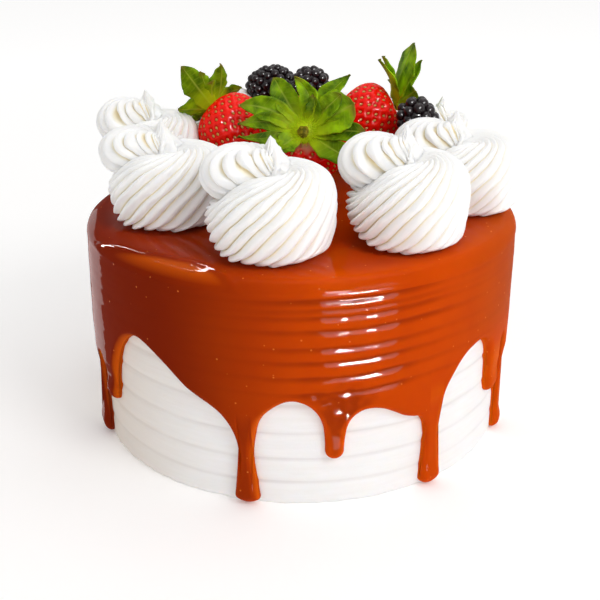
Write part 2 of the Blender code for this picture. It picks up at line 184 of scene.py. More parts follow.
bpy.context.scene.view_settings.view_transform = "Standard"
room = bpy.data.worlds.new("room")
room.use_nodes = True
backdrop = room.node_tree.nodes["Background"]
backdrop.inputs["Color"].default_value = WHITE
toward = add_node(room, "ShaderNodeTexCoord", {}, {})
across = add_node(room, "ShaderNodeSeparateXYZ", {}, {"Vector": toward.outputs["Generated"]})
walls = add_node(room, "ShaderNodeMapRange", {}, {
    "Value": across.outputs["X"], "From Min": -1.0, "From Max": 1.0,
    "To Min": ROOM_LEFT, "To Max": ROOM_RIGHT})
room.node_tree.links.new(walls.outputs["Result"], backdrop.inputs["Strength"])
bpy.context.scene.world = room
print("room:", ROOM_LEFT, "on the left,", ROOM_RIGHT, "on the right")

# %% The soft boxes
# Name, place (m), the height on the cake's axis that it is aimed at (m), width and height (m), power (W), and
# what it is for: to light everything, to be mirrored in everything, or in the caramel alone
SOFT_BOXES = [
    ("key", (0.55, -0.60, 0.75), 0.08, 0.35, 0.35, 2.8, "light"),
    ("overhead", (0.1, 0.15, 1.0), 0.1, 0.6, 0.6, 1.3, "light"),
    ("glint", (0.30, -0.95, 0.62), 0.12, 0.20, 0.30, 16.0, "mirrored"),
    ("window_front", (0.45, -0.89, 0.185), 0.06, 0.34, 0.19, 115.0, "caramel"),
    ("window_veil", (0.445, -0.885, 0.13), 0.06, 0.61, 0.66, 17.0, "caramel"),
    ("window_left", (-0.80, 0.38, 0.35), 0.08, 0.12, 0.35, 30.0, "caramel"),
    ("window_back", (-0.25, 0.9, 0.75), 0.09, 0.9, 0.25, 70.0, "caramel"),
    ("window_far_left", (-0.70, 0.86, -0.1), 0.06, 0.5, 0.9, 7.0, "caramel"),
]
mirrors = bpy.data.collections.new("wet caramel")
for name, place, aim, width, height, power, purpose in SOFT_BOXES:
    box = bpy.data.lights.new(name, "AREA")
    box.shape = "RECTANGLE"
    box.size = width
    box.size_y = height
    box.energy = power
    lamp = link_object(name, box)
    lamp.visible_diffuse = purpose == "light"
    if purpose == "caramel":
        lamp.light_linking.receiver_collection = mirrors
    direction = Vector((0.0, 0.0, aim)) - Vector(place)
    facing = direction.to_track_quat("-Z", "Y").to_matrix().to_4x4()
    lamp.matrix_world = Matrix.Translation(place) @ facing
print("soft boxes:", [row[0] for row in SOFT_BOXES])

# %% [markdown]
# ## A sheet wrapped into a body
# Most of this cake's pieces are round: one flat grid, with its columns wrapped about an axis and its rows
# run from one pole to the other, closes into each of them once its doubled points are merged. The grid also
# carries numbers from point to point, such as how deep in a groove a point lies, which the materials read.

# %% Helpers for round bodies
WELD = 0.001 * MM


def bump(off, width):
    """A smooth bump: 1 in its middle, about a third at one width from it and next to nothing at two."""
    return exp(-((off / width) ** 2))


def ramp(value, start, run):
    """A share that grows from 0 at a start to 1 one run further on. The run may be below 0."""
    return min(1.0, max(0.0, (value - start) / run))


def half_turn(angle):
    """The same direction as an angle in degrees, counted from -180 to 180."""
    return (angle + 180.0) % 360.0 - 180.0


def on_side(azimuth, radius, height):
    """The point at an azimuth in degrees (0 in front, growing towards +X), a radius and a height."""
    angle = radians(azimuth)
    return Vector((radius * sin(angle), -radius * cos(angle), height))


def wrap_grid(bm, columns, rows, place, note=None):
    """Adds a closed surface. place(column, row) gives each point, and with a note its number as well."""
    layer = None
    if note:
        layer = bm.verts.layers.float.get(note) or bm.verts.layers.float.new(note)
    sheet = bmesh.ops.create_grid(bm, x_segments=columns, y_segments=rows, size=1.0)["verts"]
    for vertex in sheet:
        column = round((vertex.co.x + 1.0) * columns / 2.0) % columns
        row = round((vertex.co.y + 1.0) * rows / 2.0)
        placed = place(column, row)
        if layer:
            placed, vertex[layer] = placed
        vertex.co = placed
    bmesh.ops.remove_doubles(bm, verts=sheet, dist=WELD)


def smooth_line(points, share):
    """The point at a share from 0 to 1 along a smooth curve through evenly counted points."""
    place = share * (len(points) - 1)
    index = min(int(place), len(points) - 2)
    t = place - index
    before = points[max(0, index - 1)]
    start = points[index]
    end = points[index + 1]
    after = points[min(len(points) - 1, index + 2)]
    return tuple(
        0.5 * (2.0 * b + (c - a) * t + (2.0 * a - 5.0 * b + 4.0 * c - d) * t * t
               + (3.0 * b - a - 3.0 * c + d) * t * t * t)
        for a, b, c, d in zip(before, start, end, after))


def ball_mesh(around, up, material_index):
    """A small round mesh of radius 1 that is stamped many times over."""
    bm = bmesh.new()
    bmesh.ops.create_uvsphere(bm, u_segments=around, v_segments=up, radius=1.0)
    for face in bm.faces:
        face.material_index = material_index
    ball = bpy.data.meshes.new("ball")
    bm.to_mesh(ball)
    bm.free()
    return ball


def stamp(bm, shape, matrix):
    """Adds a copy of a small mesh to a bmesh, moved and sized by a matrix."""
    copy = shape.copy()
    copy.transform(matrix)
    bm.from_mesh(copy)
    bpy.data.meshes.remove(copy)


def add_piece(name, bm, materials, slot, *nodes):
    """Turns a bmesh into a piece of the cake that stands for solids and rides with them."""
    mesh = bpy.data.meshes.new(name)
    bmesh.ops.recalc_face_normals(bm, faces=bm.faces)
    bm.to_mesh(mesh)
    bm.free()
    mesh.shade_smooth()
    for material in materials:
        mesh.materials.append(material)
    piece = link_object(name, mesh)
    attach(piece, "root")
    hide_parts(*nodes)
    print(f"{name}: {len(mesh.polygons)} faces")
    return piece

# %% [markdown]
# ## The iced cake
# The side was smoothed with a toothed scraper held against the turning cake, which left shallow level lines
# about 11 mm apart in the white icing, each wavering a little with the hand. The side is one wrapped grid
# with these lines in its shape, so that light grazes them as it does the real ones. The foot is left a
# little ragged, as the scraper leaves it.

# %% The sizes of the cake
CAKE_RADIUS = 84.6 * MM
CAKE_HEIGHT = 89.4 * MM
CAKE_SHOULDER = 5.0 * MM
GLAZE_TOP = 93.0 * MM
# Heights (mm) of the lines that the teeth of the scraper left, then how deep and wide a line is, and how wide
# the painted shade down in it
COMB_LINES = [10.0, 20.1, 30.9, 42.3, 53.6, 64.4, 74.8]
COMB_DEPTH = 0.5 * MM
COMB_WIDTH = 1.3 * MM
LINE_WIDTH = 0.6 * MM
# How far the plan is from round, and how far the side swells out low down, with the azimuth of the swelling
PLAN_WOBBLE = 0.5 * MM
SWELL = 1.8 * MM
SWELL_AZIMUTH = -88.0


def wobble(azimuth, height):
    """How far the side strays from a true drum: wider than deep, and swollen low down on the left."""
    swell = SWELL * max(0.0, cos(radians(azimuth - SWELL_AZIMUTH))) ** 2
    return swell * (1.0 - (height / GLAZE_TOP) ** 2) - PLAN_WOBBLE * cos(radians(2.0 * azimuth))


def waver(azimuth, height, size, seed):
    """Smooth noise from -1 to 1 over the side, with bumps of about the given size in metres."""
    around = on_side(azimuth, CAKE_RADIUS, height)
    return noise.noise(around / size + Vector((seed, 2.0 * seed, -seed)))


# %% Model the iced cake
CAKE_COLUMNS = 300
CAKE_ROWS = 150
SIDE_ROWS = 128
# Kinds of unevenness, each with the size of its bumps and a seed of its own
LINE_DRIFT = (55.0 * MM, 3.0)
LINE_WEAR = (18.0 * MM, 21.0)
SIDE_DENTS = (26.0 * MM, 7.0)
FOOT_CRUMBS = (5.0 * MM, 11.0)
# How far the lines drift up and down, how deep the dents are and how far the side is set back for them
DRIFT_REACH = 1.1 * MM
DENT_DEPTH = 0.25 * MM
DENT_INSET = 0.2 * MM
# How much of its depth a worn line keeps, and how much that varies along it
LINE_KEPT = 0.75
LINE_VARIES = 0.6
# Height of the ragged foot, then how far it is cut back and how much that varies (mm)
RAGGED_FOOT = 1.6 * MM
FOOT_CUT = 0.9
FOOT_VARIES = 0.8


def cake_top(azimuth, share):
    """A point of the rounded shoulder and the top, for a share from 0 at the side to 1 at the axis."""
    if share == 1.0:
        return Vector((0.0, 0.0, CAKE_HEIGHT))
    angle = min(1.0, share * 2.0) * pi / 2.0
    radius = CAKE_RADIUS - CAKE_SHOULDER * (1.0 - cos(angle))
    radius *= 1.0 - max(0.0, share * 2.0 - 1.0)
    return on_side(azimuth, radius, CAKE_HEIGHT - CAKE_SHOULDER * (1.0 - sin(angle)))


def cake_point(column, row):
    """A point of the iced cake, from the pole up the side to the top, and how deep in a comb line it lies,
    which sets the line's painted shade.
    """
    azimuth = 360.0 * column / CAKE_COLUMNS
    if row == 0:
        return Vector((0.0, 0.0, 0.0)), 0.0
    if row > SIDE_ROWS:
        return cake_top(azimuth, (row - SIDE_ROWS) / (CAKE_ROWS - SIDE_ROWS)), 0.0
    height = (CAKE_HEIGHT - CAKE_SHOULDER) * (row - 1) / (SIDE_ROWS - 1)
    level = height + DRIFT_REACH * waver(azimuth, height, *LINE_DRIFT)
    off = min(abs(level - line * MM) for line in COMB_LINES)
    worn = LINE_KEPT + LINE_VARIES * waver(azimuth, height, *LINE_WEAR)
    radius = CAKE_RADIUS + wobble(azimuth, height) - COMB_DEPTH * worn * bump(off, COMB_WIDTH)
    radius += DENT_DEPTH * waver(azimuth, height, *SIDE_DENTS) - DENT_INSET
    foot = max(0.0, 1.0 - height / RAGGED_FOOT)
    radius -= foot * (FOOT_CUT + FOOT_VARIES * waver(azimuth, height, *FOOT_CRUMBS)) * MM
    return on_side(azimuth, radius, height), worn * bump(off, LINE_WIDTH)


bm = bmesh.new()
wrap_grid(bm, CAKE_COLUMNS, CAKE_ROWS, cake_point, "line")
print("iced side:", 2.0 * CAKE_RADIUS / MM, "mm across and", CAKE_HEIGHT / MM, "mm high")

# %% [markdown]
# ## White icing
# The icing is a whipped shortening icing: very white, matt, full of tiny air bubbles that scatter the light
# just under its skin. It is named for that; its grain is finer than a pixel, so it is drawn at about 0.7 mm,
# as coarse as it needs to show, with faint level streaks left by the scraper. The comb lines get a painted
# grey shade, and the left side a painted warm, darker shade, as shade and warm reflected light fall there.

# %% White icing
icing_paint = start_material("whipped white icing", {
    "Base Color": hex_colour("#f6f3ee"),
    "Roughness": 0.6,
    "IOR": 1.45,
    "Subsurface Weight": 0.5,
    "Subsurface Radius": (1.0, 0.85, 0.7),
    "Subsurface Scale": 1.2 * MM,
})
place_on = add_node(icing_paint, "ShaderNodeTexCoord", {}, {})
stretched = add_node(icing_paint, "ShaderNodeMapping", {}, {
    "Vector": place_on.outputs["Object"], "Scale": (1.0, 1.0, 9.0)})
streaks = add_node(icing_paint, "ShaderNodeTexNoise", {}, {
    "Vector": stretched.outputs["Vector"], "Scale": 90.0, "Detail": 3.0})
grain = add_node(icing_paint, "ShaderNodeTexNoise", {}, {
    "Vector": place_on.outputs["Object"], "Scale": 1400.0, "Detail": 3.0})
streak_bump = add_node(icing_paint, "ShaderNodeBump", {}, {
    "Strength": 0.35, "Distance": 0.35 * MM, "Height": streaks.outputs["Fac"]})
grain_bump = add_node(icing_paint, "ShaderNodeBump", {}, {
    "Strength": 0.3, "Distance": 0.25 * MM, "Height": grain.outputs["Fac"],
    "Normal": streak_bump.outputs["Normal"]})
tint = add_node(icing_paint, "ShaderNodeMix", {"data_type": "RGBA"}, {
    MIX_FACTOR: streaks.outputs["Fac"], MIX_A: hex_colour("#f3f1ef"), MIX_B: hex_colour("#fbfafa")})
# Painted shade: each comb line is painted grey, more so the deeper a point lies in it
comb_line = add_node(icing_paint, "ShaderNodeAttribute", {"attribute_name": "line"}, {})
painted_line_shade = add_node(icing_paint, "ShaderNodeMapRange", {}, {
    "Value": comb_line.outputs["Fac"], "From Min": 0.0, "From Max": 1.0, "To Min": 0.0, "To Max": 0.4})
line_shaded = add_node(icing_paint, "ShaderNodeMix", {"data_type": "RGBA"}, {
    MIX_FACTOR: painted_line_shade.outputs["Result"], MIX_A: tint.outputs[MIX_RESULT], MIX_B: hex_colour("#cbc6c3")})
# Painted shade on the left: warmer and darker, as shade and warm reflected light fall on that side
sides = add_node(icing_paint, "ShaderNodeSeparateXYZ", {}, {"Vector": place_on.outputs["Object"]})
painted_shade_left = add_node(icing_paint, "ShaderNodeMapRange", {"interpolation_type": "SMOOTHSTEP"}, {
    "Value": sides.outputs["X"], "From Min": -25.0 * MM, "From Max": -95.0 * MM,
    "To Min": 0.0, "To Max": 0.8})
shaded_left = add_node(icing_paint, "ShaderNodeMix", {"data_type": "RGBA"}, {
    MIX_FACTOR: painted_shade_left.outputs["Result"], MIX_A: line_shaded.outputs[MIX_RESULT], MIX_B: hex_colour("#dccbb9")})
feed_shader(icing_paint, {"Normal": grain_bump.outputs["Normal"], "Base Color": shaded_left.outputs[MIX_RESULT]})
add_piece("iced_cake", bm, [icing_paint], "icing", "cake")

# %% [markdown]
# ## The poured caramel
# Warm caramel was poured over the cold cake. It set as a skin a few millimetres thick that ends in arches,
# and in drips that ran down to the foot or stopped as hanging drops. Everywhere its edge is a round bead,
# because the surface of a liquid pulls itself tight. So the thickness at a point is worked out from its
# distance to the nearest edge: nothing at the edge, and the full skin one bead away from it. Level waves in
# the skin, from the scraped icing and the spatula, break the long highlights into short streaks.

# %% The sizes of the caramel
GLAZE_SKIN = 3.5 * MM
GLAZE_SHOULDER = 6.0 * MM
CLOSE_FIT = 0.15 * MM
# Height of the lowest drips over the table and width of the bead along the edge (mm)
FLOOR = 0.5
BEAD = 3.0
Drip = namedtuple("Drip", "azimuth width end foot glow")
# Drips: azimuth of the middle, width, height of the lower end and width of the foot or drop (mm), and painted
# light: above 0 where a drip is painted brighter as lit from the right, below 0 where it is painted darker as
# in shade
DRIPS = [Drip(*numbers) for numbers in (
    (-163.0, 7.4, FLOOR, 10.4, 0.0),
    (-134.0, 8.6, 26.0, 9.0, 0.0),
    (-104.0, 6.6, FLOOR, 9.6, -0.3),
    (-71.8, 7.4, FLOOR, 12.4, -0.9),
    (-61.0, 9.4, 23.6, 9.4, 0.0),
    (-14.35, 5.3, FLOOR, 10.4, 0.0),
    (7.9, 7.0, 20.6, 7.6, 0.0),
    (35.0, 6.6, FLOOR, 10.0, 0.45),
    (61.9, 10.2, 25.4, 10.6, 0.75),
    (72.0, 5.8, FLOOR, 9.0, 0.8),
    (102.0, 7.8, 18.0, 8.2, 0.4),
    (129.0, 6.8, FLOOR, 10.2, 0.0),
    (161.0, 8.8, 24.0, 9.2, 0.0),
)]
# Arches between each drip and the next: azimuth and height (mm) of points along the caramel's lower edge
ARCHES = [
    [(-160.6, 30.0), (-160.0, 38.0), (-158.1, 44.3), (-154.3, 49.7), (-150.5, 51.7), (-148.0, 52.0),
     (-145.8, 51.7), (-142.4, 49.6), (-139.0, 44.0), (-137.4, 37.3), (-136.8, 29.0)],
    [(-131.2, 28.0), (-130.6, 35.6), (-129.0, 41.7), (-125.6, 46.8), (-122.2, 48.7), (-120.0, 49.0),
     (-117.2, 48.7), (-113.1, 46.6), (-108.9, 41.0), (-106.8, 34.3), (-106.1, 26.0)],
    [(-101.9, 29.0), (-101.2, 38.4), (-99.1, 45.9), (-94.9, 52.3), (-90.8, 54.7), (-88.0, 55.0),
     (-85.2, 54.7), (-81.1, 52.4), (-77.0, 46.3), (-74.9, 39.0), (-74.2, 30.0)],
    [(-69.4, 34.0), (-69.3, 36.2), (-68.9, 37.9), (-68.2, 39.4), (-67.5, 39.9), (-67.0, 40.0),
     (-66.4, 39.9), (-65.5, 39.3), (-64.6, 37.6), (-64.2, 35.5), (-64.1, 33.0)],
    [(-57.8, 30.0), (-57.5, 36.0), (-56.6, 42.5), (-55.2, 47.6), (-53.5, 52.0), (-51.4, 55.6),
     (-49.2, 58.0), (-46.9, 59.3), (-44.6, 59.4), (-41.9, 58.1), (-38.8, 55.6), (-35.3, 52.2),
     (-31.9, 48.2), (-29.2, 45.2), (-25.9, 42.6), (-23.0, 40.3), (-20.6, 37.6), (-18.6, 33.8),
     (-17.3, 29.8), (-16.5, 25.5), (-16.1, 20.0)],
    [(-12.6, 18.0), (-12.4, 24.0), (-11.9, 29.5), (-11.4, 33.4), (-10.6, 36.6), (-9.4, 39.3),
     (-7.8, 41.6), (-6.0, 43.5), (-4.2, 44.8), (-2.5, 45.2), (-0.9, 44.8), (0.8, 43.7), (2.5, 41.7),
     (3.9, 38.9), (4.8, 35.6), (5.3, 32.0), (5.6, 26.0)],
    [(10.2, 26.0), (10.6, 30.0), (11.2, 34.3), (12.6, 37.8), (14.9, 39.9), (17.5, 40.2), (20.5, 39.1),
     (23.3, 36.9), (26.0, 34.5), (28.5, 33.1), (30.2, 32.5), (31.4, 31.0), (32.2, 28.5), (32.8, 23.0)],
    [(37.2, 22.0), (37.5, 29.5), (37.9, 34.4), (38.5, 38.6), (39.6, 42.0), (41.3, 45.4), (43.3, 48.8),
     (45.7, 51.6), (48.6, 53.1), (51.2, 53.8), (53.3, 53.3), (55.5, 51.6), (57.3, 48.4), (58.2, 44.0),
     (58.4, 38.0), (58.5, 32.0)],
    [(65.2, 36.0), (65.3, 40.0), (65.7, 43.2), (66.3, 45.8), (67.0, 46.9), (67.4, 47.0), (67.9, 46.9),
     (68.8, 46.0), (69.6, 43.9), (70.0, 41.3), (70.1, 38.0)],
    [(73.9, 30.0), (74.5, 38.3), (76.5, 45.0), (80.4, 50.6), (84.4, 52.7), (87.0, 53.0), (89.5, 52.6),
     (93.2, 50.1), (97.0, 43.6), (98.8, 35.8), (99.5, 26.0)],
    [(104.5, 27.0), (105.1, 34.2), (106.8, 40.0), (110.3, 44.9), (113.7, 46.7), (116.0, 47.0),
     (118.2, 46.8), (121.4, 45.1), (124.6, 40.7), (126.2, 35.5), (126.8, 29.0)],
    [(131.2, 31.0), (131.9, 39.3), (134.0, 46.0), (138.1, 51.6), (142.2, 53.7), (145.0, 54.0),
     (147.6, 53.6), (151.6, 51.1), (155.5, 44.6), (157.5, 36.8), (158.1, 27.0)],
    [(163.9, 29.0), (164.6, 36.6), (166.9, 42.7), (171.4, 47.8), (176.0, 49.7), (179.0, 50.0),
     (182.1, 49.7), (186.8, 47.9), (191.5, 43.0), (193.8, 37.2), (194.6, 30.0)],
]
# The ridge that the spatula left on the top, front left: azimuth and radius (mm) of points along it
RIDGE_LINE = [
    (-64.0, 89.0), (-53.0, 84.5), (-46.4, 82.0), (-39.3, 78.5), (-30.5, 76.8), (-25.2, 78.6), (-19.3, 83.5),
    (-13.0, 90.0),
]
# Level waves round the side: height of a dent, height of the slope below it, and its depth (mm)
WAVES = [
    (85.4, 2.4, 0.66), (81.8, 2.0, 0.36), (79.0, 2.0, 0.58), (73.8, 2.2, 0.78), (67.2, 2.2, 0.54),
    (62.0, 2.0, 0.46), (56.0, 2.2, 0.5), (49.8, 2.4, 0.5),
]


# %% The edge of the caramel
# A drip's neck: how much thinner it is, how far over the lower end, and its length (mm)
NECK = 0.12
NECK_UP = 9.0
NECK_LENGTH = 6.0
# How far up a foot or a drop spreads (mm)
FOOT_SPREAD = 4.0
# A column this close to a drip (mm) still counts as in it
DRIP_SLACK = 0.01


def arc_length(turn):
    """Millimetres along the glazed side for a turn in degrees."""
    return radians(turn) * (CAKE_RADIUS + GLAZE_SKIN) / MM


def drip_at(azimuth):
    """The drip that an azimuth lies in, or None."""
    for drip in DRIPS:
        off = arc_length(half_turn(azimuth - drip.azimuth))
        if abs(off) <= drip.width / 2.0 + DRIP_SLACK:
            return drip
    return None


def drip_width(drip, height):
    """How wide a drip is at a height, as a share of its width: a thin neck, then a foot or a drop."""
    above = height - drip.end
    spread = (drip.foot / drip.width - 1.0) * bump(above - drip.width / 2.0, FOOT_SPREAD)
    return 1.0 + spread - NECK * bump(above - NECK_UP, NECK_LENGTH)


def glaze_flat(azimuth, height):
    """Where a point of the side lies in the flat, in mm along and up, with the drip's own width."""
    drip = drip_at(azimuth)
    if drip:
        azimuth = drip.azimuth + (azimuth - drip.azimuth) * drip_width(drip, height)
    return arc_length(azimuth), height


# %% Columns of the caramel
# Spacing of the columns (mm) over the arches in front and at the back, which starts at this azimuth
FRONT_STEP = 0.95
BACK_STEP = 1.9
BACK_AZIMUTH = 75.0
# The least turn (degrees) between a column of an arch and the drip beside it, and steps along an arch's curve
LEAST_TURN = 0.05
CURVE_STEPS = 12
DRIP_SHARES = [sin(pi / 2.0 * step / 8.0) for step in range(-8, 9)]


def glaze_outline():
    """Columns round the cake, each an azimuth with the height (mm) of the caramel's lower edge there."""
    outline = []
    for drip, following, arch in zip(DRIPS, DRIPS[1:] + DRIPS[:1], ARCHES):
        half = drip.width / 2.0
        for share in DRIP_SHARES:
            round_end = half * (1.0 - sqrt(1.0 - share * share))
            outline.append((drip.azimuth + share * half / arc_length(1.0), drip.end + round_end))
        spacing = FRONT_STEP if abs(arch[len(arch) // 2][0]) < BACK_AZIMUTH else BACK_STEP
        turn_left = (following.azimuth - drip.azimuth) % 360.0 - following.width / 2.0 / arc_length(1.0)
        steps = CURVE_STEPS * (len(arch) - 1)
        reached = (outline[-1][0], arch[0][1] + spacing)
        for azimuth, height in (smooth_line(arch, step / steps) for step in range(steps + 1)):
            moved = sqrt(arc_length(azimuth - reached[0]) ** 2 + (height - reached[1]) ** 2)
            inside = outline[-1][0] + LEAST_TURN < azimuth < drip.azimuth + turn_left - LEAST_TURN
            if moved >= spacing and inside:
                outline.append((azimuth, height))
                reached = (azimuth, height)
    return outline


outline = glaze_outline()
columns = [azimuth for azimuth, edge in outline]
print(len(columns), "columns of caramel")

# %% The edge as a line of points, to measure from
RIM_STEP = 0.25
ROUND_TRIP = arc_length(360.0)

rim = [glaze_flat(azimuth, edge) for azimuth, edge in outline]
rim_points = []
for (x0, z0), (x1, z1) in zip(rim, rim[1:] + [(rim[0][0] + ROUND_TRIP, rim[0][1])]):
    count = max(1, int(sqrt((x1 - x0) ** 2 + (z1 - z0) ** 2) / RIM_STEP))
    rim_points += [(x0 + (x1 - x0) * step / count, z0 + (z1 - z0) * step / count) for step in range(count)]
rim_tree = kdtree.KDTree(3 * len(rim_points))
for number, (x, z) in enumerate(rim_points):
    for lap in (-1, 0, 1):
        rim_tree.insert((x + lap * ROUND_TRIP, z, 0.0), number)
rim_tree.balance()
print(len(rim_points), "points along the edge")

# %% The top of the caramel
# Radii (mm) of the rows on the flat of the top, close together where the spatula's ridge runs
TOP_RADII = [14.0, 30.0, 46.0, 58.0, 66.0, 71.0, 73.5] + [75.0 + 0.8 * step for step in range(9)]
# The ridge, the facet that the spatula left outside it, and the brighter orange painted on that facet: rise
# or drop, and width (mm)
RIDGE_RISE = 0.7
RIDGE_WIDTH = 1.3
FACET_DROP = 0.5
FACET_RUN = 3.0
FACET_GLOW = 0.66
GLOW_RUN = 2.0
# Soft dents: size and seed, depth and how much they all lie lower (mm), and where they fade to the axis
TOP_DENTS = (22.0 * MM, 9.0)
TOP_DENT_DEPTH = 0.3
TOP_DENT_INSET = 0.2
TOP_DENTS_FROM = 20.0 * MM


def past_ridge(azimuth, radius):
    """How far (mm) a point of the top lies outside the spatula's ridge. Past its ends there is none."""
    turn = half_turn(azimuth)
    across = RIDGE_LINE[0][1]
    for (start, near), (end, far) in zip(RIDGE_LINE, RIDGE_LINE[1:]):
        if start <= turn <= end:
            across = near + (far - near) * (turn - start) / (end - start)
            break
    return radius / MM - across


def top_relief(azimuth, radius):
    """How far (m) the top lies off its level: down from the ridge's crest, in the facet and in the dents."""
    beyond = past_ridge(azimuth, radius)
    crest = bump(beyond, RIDGE_WIDTH)
    facet = FACET_DROP * (1.0 - bump(beyond, FACET_RUN)) if beyond > 0.0 else 0.0
    dents = TOP_DENT_DEPTH * waver(azimuth, radius, *TOP_DENTS) * min(1.0, radius / TOP_DENTS_FROM)
    lowered = min(0.0, RIDGE_RISE * crest - facet) + min(0.0, dents - TOP_DENT_INSET)
    return lowered * MM - RIDGE_RISE * MM * (1.0 - crest)


def facet_glow(azimuth, radius):
    """How much brighter orange the top is painted between the spatula's ridge and the rim."""
    beyond = past_ridge(azimuth, radius)
    return FACET_GLOW * (1.0 - bump(beyond, GLOW_RUN)) if beyond > 0.0 else 0.0


# %% The waves in the side of the caramel
# The waves are strongest round one azimuth and fade to this share; each dent closes again above within a lip
WAVE_AZIMUTH = 13.0
WAVE_SPREAD = 20.0
WAVE_LEAST = 0.07
WAVE_LIP = 0.8
# They drift up and down (mm), break off, each with its size and seed, and climb to the right (mm a degree)
WAVE_DRIFT = (50.0 * MM, 5.0)
WAVE_DRIFT_REACH = 1.6
WAVE_BREAKS = (13.0 * MM, 13.0)
WAVE_BREAK_SHARE = 0.7
WAVE_CLIMB = 0.05
CLIMB_STARTS = -20.0
CLIMB_ENDS = 25.0
# The crumpled skin where the caramel pools over the short drip: azimuth and spread to each side (degrees),
# height, spread up and down and depth (mm), size and seed of the creases, and the least that counts
POOL_AZIMUTH = 9.0
POOL_SPREAD = 6.5
POOL_HEIGHT = 42.0
POOL_RISE = 8.0
POOL_DEPTH = 0.85
POOL_CREASES = (3.2 * MM, 17.0)
POOL_LEAST = 0.02


def waves_at(azimuth):
    """The level waves at an azimuth, each with its height, the slope below it and its depth there, in mm."""
    turn = half_turn(azimuth - WAVE_AZIMUTH)
    found = []
    for level, slope, deep in WAVES:
        shifted = level + WAVE_DRIFT_REACH * waver(azimuth, level * MM, *WAVE_DRIFT)
        shifted += WAVE_CLIMB * max(CLIMB_STARTS, min(CLIMB_ENDS, turn))
        strong = WAVE_LEAST + bump(turn, WAVE_SPREAD)
        strong *= max(0.0, 1.0 + WAVE_BREAK_SHARE * waver(azimuth, level * MM, *WAVE_BREAKS))
        found.append((shifted, slope, strong * deep))
    return found


column_waves = [waves_at(azimuth) for azimuth in columns]


def wave_depth(column, height):
    """How far (m) the waves and the creases let the skin fall back in a column, at a height in mm."""
    azimuth = columns[column]
    depth = 0.0
    for level, slope, deep in column_waves[column]:
        above = height - level
        if above >= 0.0:
            depth += deep * bump(above, WAVE_LIP)
        elif above > -slope:
            depth += deep * (1.0 + cos(pi * above / slope)) / 2.0
    pool = bump(half_turn(azimuth - POOL_AZIMUTH), POOL_SPREAD) * bump(height - POOL_HEIGHT, POOL_RISE)
    if pool > POOL_LEAST:
        depth += POOL_DEPTH * pool * (1.0 + waver(azimuth, height * MM, *POOL_CREASES))
    return depth * MM


print("deepest wave:", round(max(wave[2] for waves in column_waves for wave in waves), 2), "mm")

# %% The side of the caramel
# How much of its painted glow an edge keeps where it faces left, away from the light
EDGE_SHADE = 0.25
# Least distance (mm) from the edge that its direction is read over
EDGE_NEAR = 0.2
# Height (mm) below which a drip runs alone, and below which its own painted light and shade show, each with
# how soon that comes
RUN_TOP = 40.0
RUN_FADE = 8.0
HANG_TOP = 52.0
HANG_FADE = 10.0
# How much thinner the skin of a drip is and how much darker its core, but not in the bulb of its lower end,
# and how much of its painted edge glow a drip in painted shade loses
DRIP_HOLLOW = 0.34
DRIP_CORE = 0.3
BULB_SPREAD = 4.5
SHADED_DRIP_EDGE = 0.8
# Soft dents in the skin: size and seed, and depth
SKIN_DENTS = (9.0 * MM, 31.0)
SKIN_DENT_DEPTH = 0.12 * MM


def side_point(azimuth, column, height):
    """A point of the side at a height in mm and its painted glow and shade: bright along the edge, dark in a
    wave.
    """
    x, z = glaze_flat(azimuth, height)
    edge_point, _, away = rim_tree.find((x, z, 0.0))
    near = 1.0 - min(1.0, away / BEAD)
    faces_right = (edge_point.x - x) / max(away, EDGE_NEAR)
    # Painted light: the glow along an edge is strongest where the edge faces right, towards the light
    painted_glow = near * (EDGE_SHADE + (1.0 - EDGE_SHADE) * (1.0 + faces_right) / 2.0)
    skin = GLAZE_SKIN * sqrt(max(0.0, 1.0 - near * near))
    drip = drip_at(azimuth)
    if drip:
        bulb = bump(height - drip.end - drip.foot / 2.0, BULB_SPREAD)
        run = ramp(height, RUN_TOP, -RUN_FADE)
        hang = ramp(height, HANG_TOP, -HANG_FADE)
        skin *= 1.0 - DRIP_HOLLOW * (1.0 - bulb) * run
        # Painted light and shade: below where it hangs alone, a drip is painted brighter or darker by its own
        # number
        painted_glow *= 1.0 + SHADED_DRIP_EDGE * min(0.0, drip.glow) * hang
        painted_glow += (drip.glow * hang - DRIP_CORE * run) * (1.0 - near)
    dent = wave_depth(column, height) * (1.0 - near)
    skin -= dent + SKIN_DENT_DEPTH * (1.0 + waver(azimuth, height * MM, *SKIN_DENTS)) * (1.0 - near)
    inner = CAKE_RADIUS + CLOSE_FIT + wobble(azimuth, height * MM)
    # The depth of a wave is painted in as shade
    return on_side(x / arc_length(1.0), inner + skin, height * MM), painted_glow - dent / MM


# %% Model the caramel
SHOULDER_STEPS = 12
TOP_STEPS = len(TOP_RADII) + SHOULDER_STEPS
SHOULDER_BASE = GLAZE_TOP - GLAZE_SHOULDER
SIDE_STEPS = 172
# Heights (mm) over the edge of the last rows, which draw the bead
BEAD_STEPS = [3.8, 3.0, 2.3, 1.7, 1.2, 0.8, 0.48, 0.24, 0.08, 0.0]
GLAZE_ROWS = TOP_STEPS + SIDE_STEPS + len(BEAD_STEPS) + 3
# The hidden back of the caramel: how deep in the icing its edge turns in, radius and height of its inner end
EDGE_DEPTH = 1.3 * MM
BACK_RADIUS = CAKE_RADIUS - 4.0 * EDGE_DEPTH
BACK_HEIGHT = CAKE_HEIGHT - 1.0 * MM


def shoulder_point(azimuth, column, angle):
    """A point of the rounded shoulder and its painted glow, from angle 0 on the top to a quarter turn at the
    side.
    """
    inner = CAKE_RADIUS + CLOSE_FIT + wobble(azimuth, SHOULDER_BASE)
    radius = inner + GLAZE_SKIN - GLAZE_SHOULDER * (1.0 - sin(angle))
    relief = top_relief(azimuth, radius) * cos(angle)
    radius -= wave_depth(column, SHOULDER_BASE / MM) * sin(angle) - relief * sin(angle)
    height = SHOULDER_BASE + GLAZE_SHOULDER * cos(angle) + relief
    return on_side(azimuth, radius, height), facet_glow(azimuth, radius) * cos(angle)


